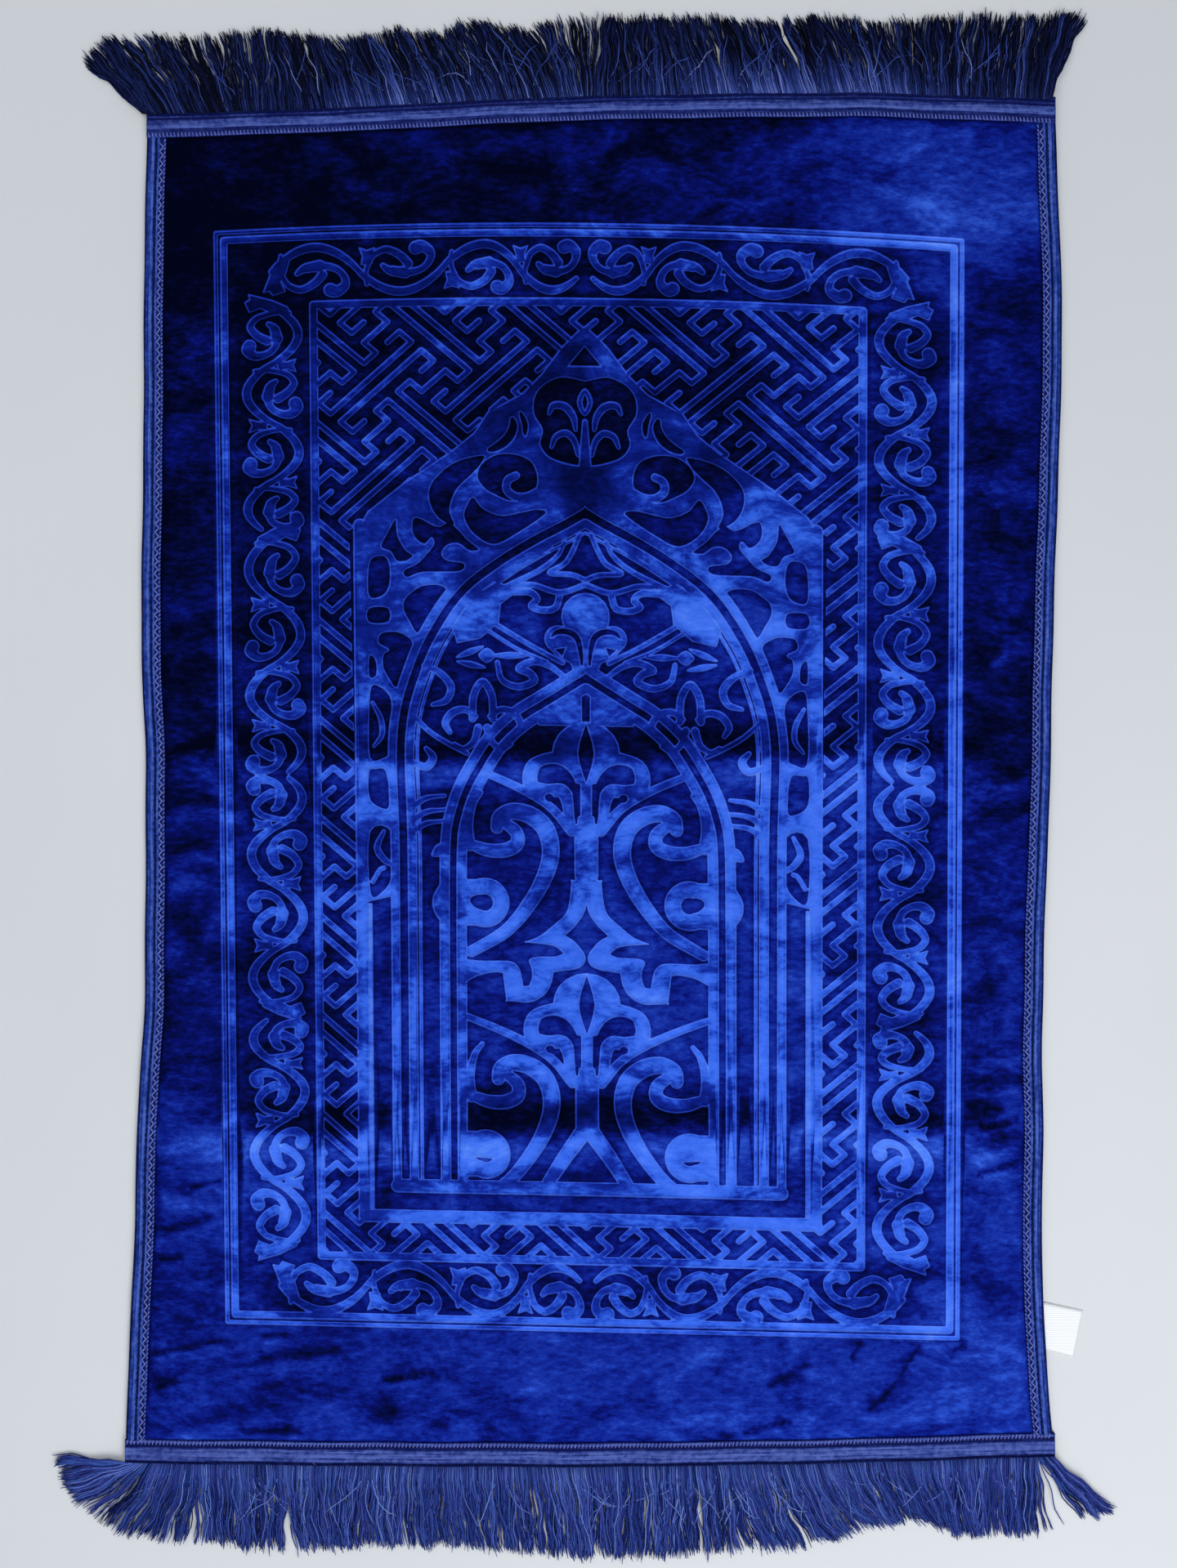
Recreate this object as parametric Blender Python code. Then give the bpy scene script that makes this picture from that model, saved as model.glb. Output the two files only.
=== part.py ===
"""Fringed prayer rug of embossed plush, lying flat.

One pile cloth with its pattern pressed into it, a folded tape binding down each
long side, a ribbed braid tape folded over each end, a fringe on each end and a
small blank label at one edge. Lengths are in millimetres until a mesh is made.
X runs across the rug, Y towards the arch's point, Z up from the floor.
"""
import math

import bpy
import numpy as np
from mathutils import Vector
from mathutils.geometry import delaunay_2d_cdt

MM = 0.001
GAP = 0.3

PILE_TOP = 6.0
PRESS_DEPTH = 2.2
WALL_RUN = 1.4
HEM_LOW, HEM_HIGH = 1.3, 3.5
SEAM_STEP = 2.6

SIDE_TAPE_WIDTH = 15.0
END_TAPE_WIDTH = 23.5
TAPE_PLY = 1.0
TAPE_TOP = 4.8

# Outer edges of the bindings as the cloth lies: (Y, X) pairs
LEFT_EDGE = ((-597, -408), (-570, -407), (-500, -405), (-444, -402), (-372, -399), (-300, -398),
             (-270, -396), (-200, -391), (-60, -390), (30, -390), (115, -394), (200, -393.5),
             (286, -392), (450, -391.5), (590, -388.5))
RIGHT_EDGE = ((-597, 405), (-572, 403.5), (-530, 399), (-487, 396.5), (-400, 393), (-315, 395),
              (-229, 393.5), (-100, 396.5), (-14, 400.5), (72, 402), (157, 404), (243, 407),
              (329, 410), (415, 411.5), (500, 408.5), (544, 406.5), (602, 404.5))
# Outer edges of the end tapes: (X, Y) pairs
TOP_EDGE = ((-392, 588), (-290, 591), (-189, 595), (-100, 600), (0, 604), (120, 606), (240, 607), (405, 601))
BOTTOM_EDGE = ((-408, -595.5), (-200, -598), (0, -599), (197, -596), (300, -593), (405, -589.5))

# Soft creases left by folding: (Y, height, half width)
CREASES = ((22, 2.2, 15), (-288, 2.6, 24))

# Embossed pattern, in its own straight frame
HALF_W, HALF_L = 322.0, 476.0
FIELD = (-240.5, 240.5, -419.0, 420.5)
FRET = 8.3
FRET_TILT = math.radians(40.5)
FRET_AT = (70.5, 388.6)
FRET_CLEAR = ((-207, -384), (207, -384), (207, 222), (159, 259), (116, 286), (88, 304), (59, 351),
              (23, 390), (-23, 390), (-59, 351), (-88, 304), (-116, 286), (-159, 259), (-207, 222))
ARCH_OUTER = ((-164, -352), (-164, -180), (-164, -10), (-161, 50), (-145, 108), (-114, 160),
              (-72, 203), (-30, 230), (0, 243))
ARCH_INNER = ((-120, -352), (-120, -200), (-120, -66), (-114, -22), (-98, 14), (-75, 38), (-48, 59),
              (-22, 76), (0, 91))
VOLUTE = ((-106, -150), (-76, -138), (-45, -106), (-30, -72), (-36, -44), (-56, -28), (-78, -29),
          (-86, -38), (-78, -48), (-65, -44))
TIER = 218.0
BORDER_PITCH = 51.4
KNOT = 55
GRID = 2.0

# Fringe locks: (X of the root, lean in degrees towards +X, length)
TOP_FRINGE = ((-392, -54, 66), (-386, -38, 72), (-376, -20, 70), (-360, -13, 64), (-300, -9, 63),
              (-200, -9, 64), (-90, -4, 68), (0, 1, 69), (120, 4, 62), (270, 3, 66), (360, 6, 68),
              (385, 13, 73), (401, 22, 76))
BOTTOM_FRINGE = ((-406, -90, 68), (-400, -66, 68), (-392, -34, 50), (-383, -6, 60), (-370, 12, 68),
                 (-280, 4, 74), (-150, -2, 76), (0, 1, 75), (130, -2, 75), (210, 2, 54), (270, 0, 52),
                 (340, 4, 68), (380, 10, 66), (393, 38, 72), (403, 50, 92))
# Partings in the fringe: (X, degrees the locks swing away from it)
TOP_PARTINGS = ((-311, 5), (-60, 5), (119, 8))
BOTTOM_PARTINGS = ((-268, 6), (-53, 5), (44, 4), (90, 6), (395, 6))
LOCK_PITCH = 8.6
STRIP = 2.7
STRIP_TOP = 3.2


def interp(table, t):
    """Value at t of a table of (t, value) pairs."""
    return float(np.interp(t, [a for a, _ in table], [b for _, b in table]))


def through(points, steps=6):
    """Smooth curve through a short list of points."""
    p = [np.array(q, float) for q in points]
    p = [2 * p[0] - p[1]] + p + [2 * p[-1] - p[-2]]
    out = []
    for a, b, c, d in zip(p, p[1:], p[2:], p[3:]):
        for k in range(steps):
            t = k / steps
            out.append(0.5 * (2 * b + (c - a) * t + (2 * a - 5 * b + 4 * c - d) * t * t
                              + (3 * b - 3 * c + d - a) * t ** 3))
    out.append(p[-2])
    return out


def flip(points):
    return [(-q[0], q[1]) for q in points]


def sideways(points, dist):
    """Curve moved to its left by dist, kept on its own side of the rug's middle."""
    p = np.array([tuple(q) for q in points])
    t = np.gradient(p, axis=0)
    t /= np.hypot(t[:, 0], t[:, 1])[:, None]
    moved = p + dist * np.stack([-t[:, 1], t[:, 0]], 1)
    return [tuple(q) for q in moved if q[0] < 1.5]


def rectangle(x0, x1, y0, y1):
    return [(x0, y0), (x1, y0), (x1, y1), (x0, y1), (x0, y0)]


def spiral(r0, r1, a0, a1, n):
    """Spiral round the origin from radius r0 at a0 degrees to r1 at a1."""
    turn = [(r0 + (r1 - r0) * k / n, math.radians(a0 + (a1 - a0) * k / n)) for k in range(n + 1)]
    return [(r * math.cos(a), r * math.sin(a)) for r, a in turn]


def outline_distance(X, Y, points):
    """Distance from a closed outline, negative inside it."""
    dist = np.full(X.shape, 1e9)
    inside = np.zeros(X.shape, bool)
    for (ax, ay), (bx, by) in zip(points, points[1:] + points[:1]):
        vx, vy = bx - ax, by - ay
        t = np.clip(((X - ax) * vx + (Y - ay) * vy) / (vx * vx + vy * vy + 1e-9), 0, 1)
        np.minimum(dist, np.hypot(X - ax - t * vx, Y - ay - t * vy), out=dist)
        if ay != by:
            inside ^= ((ay > Y) != (by > Y)) & (X < (bx - ax) * (Y - ay) / (by - ay) + ax)
    return np.where(inside, -dist, dist)


class Press:
    """Distance on a grid from the pressed pattern's edge: negative on pressed cloth."""

    def __init__(self):
        self.x = np.arange(-HALF_W - 12, HALF_W + 12, GRID)
        self.y = np.arange(-HALF_L - 12, HALF_L + 12, GRID)
        self.X, self.Y = np.meshgrid(self.x, self.y)
        self.d = np.full(self.X.shape, 9.0)

    def line(self, points, half, end=None):
        """Pressed line of half width half, changing to end."""
        end = half if end is None else end
        n = len(points) - 1
        for k in range(n):
            (ax, ay), (bx, by) = points[k], points[k + 1]
            wa, wb = half + (end - half) * k / n, half + (end - half) * (k + 1) / n
            i0, i1 = np.searchsorted(self.x, (min(ax, bx) - 12, max(ax, bx) + 12))
            j0, j1 = np.searchsorted(self.y, (min(ay, by) - 12, max(ay, by) + 12))
            X, Y = self.X[j0:j1, i0:i1], self.Y[j0:j1, i0:i1]
            vx, vy = bx - ax, by - ay
            t = np.clip(((X - ax) * vx + (Y - ay) * vy) / (vx * vx + vy * vy + 1e-9), 0, 1)
            dist = np.hypot(X - ax - t * vx, Y - ay - t * vy) - (wa + (wb - wa) * t)
            self.d[j0:j1, i0:i1] = np.minimum(self.d[j0:j1, i0:i1], dist)

    def pair(self, points, half, end=None):
        """The same line on both sides of the rug's middle."""
        self.line(points, half, end)
        self.line(flip(points), half, end)

    def at(self, x, y):
        """Distance at a point, read between the grid's points."""
        u = (x - self.x[0]) / GRID
        v = (y - self.y[0]) / GRID
        i, j = int(math.floor(u)), int(math.floor(v))
        if not (0 <= i < len(self.x) - 1 and 0 <= j < len(self.y) - 1):
            return 9.0
        u, v = u - i, v - j
        d = self.d
        return ((d[j, i] * (1 - u) + d[j, i + 1] * u) * (1 - v)
                + (d[j + 1, i] * (1 - u) + d[j + 1, i + 1] * u) * v)


def fret_lines(upright):
    """Lines round one pair of long bars of the diagonal key fret, in fret units."""
    if upright:
        return [[(0.7 * s, 5.4), (0.7 * s, -5.4)] for s in (1, -1)]
    return [[(5.65, 3.2 * s), (5.65, 0.7 * s), (-5.65, 0.7 * s), (-5.65, 3.2 * s)] for s in (1, -1)]


def press_fret(press):
    """Diagonal key fret in the field's corners and down its sides."""
    ca, sa = math.cos(FRET_TILT) * FRET, math.sin(FRET_TILT) * FRET
    for m in range(-7, 8):
        for n in range(-9, 10):
            for upright in (0, 1):
                u0, v0 = 8 * (m + n + upright), 8 * (m - n)
                for line in fret_lines(upright):
                    press.line([(FRET_AT[0] + (u0 + a + v0 + b) * ca,
                                 FRET_AT[1] + (v0 + b - u0 - a) * sa) for a, b in line], 2.2)
    x0, x1, y0, y1 = FIELD
    field = outline_distance(press.X, press.Y, rectangle(x0, x1, y0, y1)[:-1])
    clear = outline_distance(press.X, press.Y, list(FRET_CLEAR))
    press.d = np.minimum(np.maximum(np.maximum(press.d, field), -clear), 9.0)


def press_vine(press, x, y, along, waves, pitch, swell):
    """Waving stem of the border with a leaf curled into each bulge, from (x, y) along a border."""
    ax, ay = along

    def at(u, v):
        return (x + u * ax - v * ay, y + u * ay + v * ax)
    steps = np.linspace(0, waves * pitch, waves * 5 + 1)
    press.line([at(u, swell * math.sin(math.pi * u / pitch)) for u in steps], 3.4)
    for k in range(waves):
        side = 1 if k % 2 == 0 else -1
        leaf = [at((k + 0.5) * pitch + 1.5 + u, side * v) for u, v in spiral(11, 5, 180, 0, 3)]
        press.line(leaf, 3.0, 5.0)


def press_borders(press):
    """Vine of alternate scrolls between the two frames."""
    for s in (-1, 1):
        press_vine(press, s * 280.5, 416, (0, -1), 16, BORDER_PITCH, s * 19)
        press_vine(press, 0, 447, (s, 0), 4, 70, s * 15)
        press_vine(press, 0, -445, (s, 0), 4, 70, -s * 15)


def press_arches(press):
    """Two pointed arches on their columns, the base line and the side bands."""
    outer, inner = through(ARCH_OUTER), through(ARCH_INNER)
    press.pair(sideways(outer, 6.6), 3.8)
    press.pair(sideways(outer, -7.4), 4.2)
    press.pair(sideways(inner, 7.4), 4.2)
    press.pair(sideways(inner, -7.4), 3.8)
    press.pair([(-202, -378), (-202, 226)], 4.6)
    press.line([(-202, -378), (202, -378)], 5.6)
    press.line([(-171, -352), (171, -352)], 4.6)


def press_niche(press):
    """Two tiers of facing volutes and side rings inside the inner arch."""
    for drop in (0, TIER):
        curve = [(x, y - drop) for x, y in through(VOLUTE, 4) if y - drop > -348]
        press.pair(curve, 4.6)
        ring = [(u - 94, v - 103 - drop) for u, v in spiral(14, 14, 150, -150, 14)]
        press.pair(ring, 5.0)


def pressed_pattern():
    press = Press()
    press_fret(press)
    press.line(rectangle(-HALF_W + 3, HALF_W - 3, -HALF_L + 3, HALF_L - 3), 3.2)
    press.line(rectangle(*FIELD), 2.6)
    press_borders(press)
    press_arches(press)
    press_niche(press)
    return press


def contours(press, level):
    """Closed loops where the pattern's distance passes a level."""
    inside = press.d < level
    rows, cols = inside.shape
    count = rows * cols
    ends = {}
    j, i = np.nonzero((inside[:-1, :-1] != inside[:-1, 1:]) | (inside[:-1, :-1] != inside[1:, :-1])
                      | (inside[1:, 1:] != inside[:-1, 1:]) | (inside[1:, 1:] != inside[1:, :-1]))
    for j, i in zip(j.tolist(), i.tolist()):
        corner = [inside[j, i], inside[j, i + 1], inside[j + 1, i + 1], inside[j + 1, i]]
        sides = [j * cols + i, count + j * cols + i + 1, (j + 1) * cols + i, count + j * cols + i]
        leave = [sides[k] for k in range(4) if corner[k] and not corner[(k + 1) % 4]]
        enter = [sides[k] for k in range(4) if not corner[k] and corner[(k + 1) % 4]]
        if len(leave) == 2 and sides.index(enter[0]) < sides.index(leave[0]):
            leave.reverse()
        ends.update(zip(leave, enter))
    loops = []
    while ends:
        start, here = ends.popitem()
        ring = [start]
        while here != start:
            ring.append(here)
            here = ends.pop(here)
        loops.append([crossing(press, side, level, cols, count) for side in ring])
    return loops


def crossing(press, side, level, cols, count):
    """Point where the level is passed on one side of a grid cell."""
    upright = side >= count
    j, i = divmod(side - count if upright else side, cols)
    a = press.d[j, i]
    b = press.d[j + 1, i] if upright else press.d[j, i + 1]
    t = min(0.98, max(0.02, (level - a) / (b - a)))
    return (press.x[i] + (0 if upright else t * GRID), press.y[j] + (t * GRID if upright else 0))


def simplify(loop, tol):
    """Fewest points of a loop that keep it within tol."""
    p = np.array(loop)
    far = int(np.argmax(np.hypot(*(p - p[0]).T)))
    p = np.vstack([p, p[:1]])
    keep = {0, far, len(p) - 1}
    spans = [(0, far), (far, len(p) - 1)]
    while spans:
        a, b = spans.pop()
        if b - a < 2:
            continue
        chord = p[b] - p[a]
        rel = p[a + 1:b] - p[a]
        off = np.abs(chord[0] * rel[:, 1] - chord[1] * rel[:, 0]) / (np.hypot(*chord) + 1e-9)
        k = int(np.argmax(off))
        if off[k] > tol:
            keep.add(a + 1 + k)
            spans += [(a, a + 1 + k), (a + 1 + k, b)]
    return [tuple(p[k]) for k in sorted(keep)[:-1]]


def lay(x, y):
    """Place a point of the straight pattern as the cloth lies on the floor."""
    u, v = x / HALF_W, y / HALF_L
    up, down = (1 + v) / 2, (1 - v) / 2
    return (x + down * (1.8 - 1.0 * u) - 1.4 * up,
            y + up * (1.0 - 0.8 * u + 7.0 * (1 - min(1, u * u))) - 7.3 * u * down)


def unlay(x, y):
    """Point of the straight pattern that lies at a place on the floor."""
    u, v = x, y
    for _ in range(3):
        a, b = lay(u, v)
        u, v = u + x - a, v + y - b
    return u, v


def lift(x, y):
    """Height of the creases, dying out before the side seams."""
    edge = min(1.0, max(0.0, (372 - abs(x)) / 50))
    return edge * sum(h * math.exp(-((y - c - 3 * math.sin(x / 90)) / w) ** 2) for c, h, w in CREASES)


def body_ring(side_in, end_in):
    """Closed ring of points a set distance inside the rug's outer edges."""
    def corner(side, end, sign, up):
        x = edge_at(side, 590 * up) + sign * side_in
        return x, edge_at(end, x) - up * end_in
    (ax, ay), (bx, by) = corner(LEFT_EDGE, BOTTOM_EDGE, 1, -1), corner(RIGHT_EDGE, BOTTOM_EDGE, -1, -1)
    (dx, dy), (cx, cy) = corner(LEFT_EDGE, TOP_EDGE, 1, 1), corner(RIGHT_EDGE, TOP_EDGE, -1, 1)
    ring = [(x, edge_at(BOTTOM_EDGE, x) + end_in) for x in stations(ax, bx)[:-1]]
    ring += [(edge_at(RIGHT_EDGE, y) - side_in, y) for y in stations(by, cy)[:-1]]
    ring += [(x, edge_at(TOP_EDGE, x) - end_in) for x in stations(dx, cx)[:0:-1]]
    ring += [(edge_at(LEFT_EDGE, y) + side_in, y) for y in stations(ay, dy)[:0:-1]]
    return ring


def edge_at(table, t):
    """Place of a rug edge: straight between knots, each with the slight waver of sewn tape."""
    low = KNOT * math.floor(t / KNOT)
    a, b = (interp(table, k) + 0.25 * math.sin(k / 17) for k in (low, low + KNOT))
    return a + (b - a) * (t - low) / KNOT


def stations(low, high):
    """Both ends of a run and the knots between them."""
    first = math.ceil((low + 6) / KNOT) * KNOT
    return [low] + list(np.arange(first, high - 6, KNOT)) + [high]


def triangulate(loops, extra=(), height=None):
    """Triangles filling the first loop, with edges along every loop and the extra points.

    Points are (x, y, z); height gives z where two edges cross. Returns the points used,
    the triangles and the first loop's places."""
    points, edges = [], []
    for loop in loops:
        n = len(points)
        points += loop
        edges += [(n + k, n + (k + 1) % len(loop)) for k in range(len(loop))]
    points += extra
    flat = [Vector(q[:2]) for q in points]
    verts, _, faces, source, _, _ = delaunay_2d_cdt(flat, edges, [], 0, 1e-4, True)
    rim, used = {}, []
    for k, ids in enumerate(source):
        x, y = verts[k].x, verts[k].y
        used.append(points[ids[0]] if ids else (x, y, height(x, y)))
        for old in ids:
            if old < len(loops[0]):
                rim[old] = k
    mid = np.array([[sum(verts[k][c] for k in f) / 3 for f in faces] for c in (0, 1)])
    inside = outline_distance(mid[0], mid[1], [q[:2] for q in loops[0]]) < 0
    kept = [tuple(f) for f, keep in zip(faces, inside) if keep]
    return used, kept, [rim[k] for k in range(len(loops[0]))]


def slab(name, material, top, bottom):
    """Closed sheet from a top and a bottom triangulation that share their rim."""
    (tv, tf, tr), (bv, bf, br) = top, bottom
    n = len(tv)
    faces = list(tf) + [tuple(n + k for k in reversed(f)) for f in bf]
    for k in range(len(tr)):
        a, b = tr[k], tr[(k + 1) % len(tr)]
        c, d = n + br[k], n + br[(k + 1) % len(br)]
        faces += [(a, c, d), (a, d, b)]
    return solid(name, material, tv + bv, faces)


def solid(name, material, verts, faces):
    mesh = bpy.data.meshes.new(name)
    mesh.from_pydata([(x * MM, y * MM, z * MM) for x, y, z in verts], [], faces)
    mesh.validate()
    mesh.shade_smooth()
    mesh.set_sharp_from_angle(angle=math.radians(35))
    mesh.materials.append(material)
    obj = bpy.data.objects.new(name, mesh)
    bpy.context.scene.collection.objects.link(obj)
    return obj


def cloth_material(name, colour, roughness):
    mat = bpy.data.materials.new(name)
    mat.use_nodes = True
    shader = mat.node_tree.nodes["Principled BSDF"]
    shader.inputs["Base Color"].default_value = (*colour, 1)
    shader.inputs["Roughness"].default_value = roughness
    shader.inputs["Metallic"].default_value = 0.0
    mat.diffuse_color = (*colour, 1)
    return mat


def plush_ground(material):
    """The pile cloth: pressed pattern on top, plain back, thin edge inside the tapes."""
    press = pressed_pattern()
    seam_side, seam_end = SIDE_TAPE_WIDTH + 0.6, END_TAPE_WIDTH + 0.6
    rim = body_ring(TAPE_PLY + 1.2, TAPE_PLY + 1.2)
    seam = body_ring(seam_side, seam_end)
    crown = body_ring(seam_side + SEAM_STEP, seam_end + SEAM_STEP)

    def raised(ring, z):
        return [(x, y, z + lift(x, y)) for x, y in ring]
    loops = [raised(rim, HEM_HIGH), raised(seam, HEM_HIGH), raised(crown, PILE_TOP)]
    for level in (0.0, WALL_RUN):
        z = PILE_TOP - PRESS_DEPTH * (1 - level / WALL_RUN)
        for loop in contours(press, level):
            thin = simplify(loop, 1.1)
            if len(thin) > 2:
                loops.append(raised([lay(*q) for q in thin], z))
    dots = [(x, y + 3 * math.sin(x / 90)) for y, step in crease_rows() for x in range(-350, 351, 50)]

    def pile(x, y):
        t = min(1.0, max(0.0, press.at(*unlay(x, y)) / WALL_RUN))
        return PILE_TOP - PRESS_DEPTH * (1 - t) + lift(x, y)
    top = triangulate(loops, [(x, y, pile(x, y)) for x, y in dots], pile)
    under = [raised(rim, HEM_LOW), raised(seam, HEM_LOW), raised(crown, 0.0)]
    bottom = triangulate(under, raised(dots, 0.0))
    return slab("rug_ground", material, top, bottom)


def crease_rows():
    """Rows of points across each crease: (Y, share of its half width)."""
    return [(y + share * w, share) for y, _, w in CREASES for share in (-1.6, -0.7, 0, 0.7, 1.6)]


def folded_tape(name, material, edge, inward, section):
    """Tape folded over an edge: a U section swept along the edge's points."""
    verts, faces = [], []
    for (x, y), (ix, iy) in zip(edge, inward):
        verts += [(x + ix * d, y + iy * d, z) for d, z in section]
    n, rings = len(section), len(edge)
    for k in range(rings - 1):
        for i in range(n):
            a, b = k * n + i, k * n + (i + 1) % n
            faces += [(a, b + n, b), (a, a + n, b + n)]
    half = n // 2
    for k in range(half - 1):
        a, b, c, d = k, k + 1, n - 2 - k, n - 1 - k
        last = (rings - 1) * n
        faces += [(a, c, d), (a, b, c)]
        faces += [(last + a, last + c, last + b), (last + a, last + d, last + c)]
    return solid(name, material, verts, faces)


def side_section():
    """U section of a side binding: rolled hem outside, raised chain of stitches inside."""
    w, t, p = SIDE_TAPE_WIDTH, TAPE_TOP, TAPE_PLY
    outside = [(w, 0), (1.6, 0), (0.4, 0.8), (0, t / 2), (0.4, t - 0.5), (1.8, t + 0.5), (3.2, t - 0.1),
               (w - 4.2, t - 0.1), (w - 2.4, t + 0.7), (w, t)]
    inside = [(w, p), (2.0, p), (p + 0.15, p + 0.4), (p, t / 2), (p + 0.15, t - p - 0.4), (2.4, t - p),
              (4.0, t - p), (w - 4.2, t - p), (w - 2.4, t - p), (w, t - p)]
    return outside + inside[::-1]


def end_section():
    """U section of an end tape: three ribs by the fringe, satin band, raised stitched edge."""
    w, t, p = END_TAPE_WIDTH, TAPE_TOP, TAPE_PLY
    outside = [(w, 0), (1.4, 0), (0, 1.2), (0, t - 0.8), (1.2, t + 0.4), (2.4, t - 0.3), (3.7, t + 0.4),
               (5.0, t - 0.3), (6.3, t + 0.4), (7.6, t), (w - 5.2, t), (w - 2.8, t + 0.8), (w, t)]
    inside = [(w, p), (2.0, p), (p, 1.5), (p, t - 1.6), (1.9, t - p), (2.9, t - p), (4.1, t - p),
              (5.2, t - p), (6.4, t - p), (7.6, t - p), (w - 5.2, t - p), (w - 2.8, t - p), (w, t - p)]
    return outside + inside[::-1]


def side_binding(name, material, table, inward):
    seam = END_TAPE_WIDTH + GAP
    x_low, x_high = edge_at(table, -590), edge_at(table, 590)
    low = edge_at(BOTTOM_EDGE, x_low) + seam + 0.2
    high = edge_at(TOP_EDGE, x_high) - seam - 0.2
    edge = [(edge_at(table, y), y) for y in stations(low, high)]
    if inward > 0:
        edge.reverse()
    return folded_tape(name, material, edge, [(inward, 0)] * len(edge), side_section())


def end_tape(name, material, table, inward):
    sign = 1 if inward < 0 else -1
    x_low, x_high = edge_at(LEFT_EDGE, 590 * sign), edge_at(RIGHT_EDGE, 590 * sign)
    edge = [(x, edge_at(table, x)) for x in stations(x_low, x_high)]
    if inward < 0:
        edge.reverse()
    return folded_tape(name, material, edge, [(0, inward)] * len(edge), end_section())


def lock_swing(x, table, partings):
    """Lean in radians and length of the lock rooted at x."""
    lean = interp([(a, b) for a, b, _ in table], x)
    size = interp([(a, c) for a, _, c in table], x)
    for at, turn in partings:
        lean += turn * (x - at) / 24 * math.exp(-((x - at) / 24) ** 2)
    return math.radians(lean), size


def lock_roots(x0, x1):
    count = int((x1 - x0) / LOCK_PITCH)
    return [x0 + (x1 - x0) * (k + 0.5) / count for k in range(count)]


def fringe(name, material, edge_table, table, partings, out):
    """Comb of tapering locks fused to a narrow heading strip, resting on the floor."""
    x0, x1 = table[0][0], table[-1][0]
    near, far = GAP, GAP + STRIP
    front = []
    for k, x in enumerate(lock_roots(x0, x1)):
        lean, size = lock_swing(x, table, partings)
        size = (size - far) * (1 + 0.03 * math.sin(k * 2.4))
        y = edge_at(edge_table, x) + out * far
        root, half, tip = LOCK_PITCH * 0.43, LOCK_PITCH * 0.40, 2.3
        bend = lean * 1.06
        mx, my = x + size * 0.5 * math.sin(lean), y + out * size * 0.5 * math.cos(lean)
        ex, ey = mx + size * 0.5 * math.sin(bend), my + out * size * 0.5 * math.cos(bend)
        path = [(x - root, y, STRIP_TOP - 0.2),
                (mx - half * math.cos(lean), my + out * half * math.sin(lean), 3.0),
                (ex - tip * math.cos(bend), ey + out * tip * math.sin(bend), 1.8),
                (ex + tip * math.cos(bend), ey - out * tip * math.sin(bend), 1.8),
                (mx + half * math.cos(lean), my - out * half * math.sin(lean), 3.0),
                (x + root, y, STRIP_TOP - 0.2)]
        front += path
    x_end = (x0 - 1, x1 + 1)
    back = [(x, edge_at(edge_table, x) + out * near, STRIP_TOP) for x in stations(*x_end)[::-1]]
    loop = [(x_end[0], edge_at(edge_table, x_end[0]) + out * far, STRIP_TOP - 0.2)] + front
    loop += [(x_end[1], edge_at(edge_table, x_end[1]) + out * far, STRIP_TOP - 0.2)] + back
    if out > 0:
        loop.reverse()
    return slab(name, material, triangulate([loop]), triangulate([[(x, y, 0.0) for x, y, _ in loop]]))


def side_label(material):
    """Blank ribbon label sticking out from the right binding's seam."""
    corners = [(edge_at(RIGHT_EDGE, -453), -453), (430, -460.5), (421.5, -501),
               (edge_at(RIGHT_EDGE, -494.5), -494.5)]
    top, bottom = ([(x, y, z) for x, y in corners[::-1]] for z in (0.9, 0.0))
    return slab("side_label", material, triangulate([top]), triangulate([bottom]))


def build():
    for obj in list(bpy.data.objects):
        bpy.data.objects.remove(obj)
    plush = cloth_material("royal_blue_plush", (0.012, 0.03, 0.26), 0.8)
    braid = cloth_material("navy_braid_tape", (0.028, 0.04, 0.2), 0.6)
    yarn = cloth_material("navy_fringe_yarn", (0.022, 0.04, 0.18), 0.7)
    ribbon = cloth_material("white_ribbon", (0.8, 0.82, 0.84), 0.6)
    plush_ground(plush)
    side_binding("side_binding_left", braid, LEFT_EDGE, 1)
    side_binding("side_binding_right", braid, RIGHT_EDGE, -1)
    end_tape("end_tape_top", braid, TOP_EDGE, -1)
    end_tape("end_tape_bottom", braid, BOTTOM_EDGE, 1)
    fringe("fringe_top", yarn, TOP_EDGE, TOP_FRINGE, TOP_PARTINGS, 1)
    fringe("fringe_bottom", yarn, BOTTOM_EDGE, BOTTOM_FRINGE, BOTTOM_PARTINGS, -1)
    side_label(ribbon)


build()
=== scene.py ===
"""Looks of a fringed prayer rug of embossed plush, lying flat on the floor.

The plush cloth carries its pattern as real relief: pressed places lie lower, with the pile
splayed along their edges. Round it go two side bindings, two end tapes, a thick fringe of
single yarns at each end and one blank label. Lengths are in millimetres until a mesh is made.
X runs across the rug, Y towards the arch's point, Z up from the floor.
"""
import math

import bpy
import numpy as np
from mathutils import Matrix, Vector
from mathutils.geometry import delaunay_2d_cdt


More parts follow.
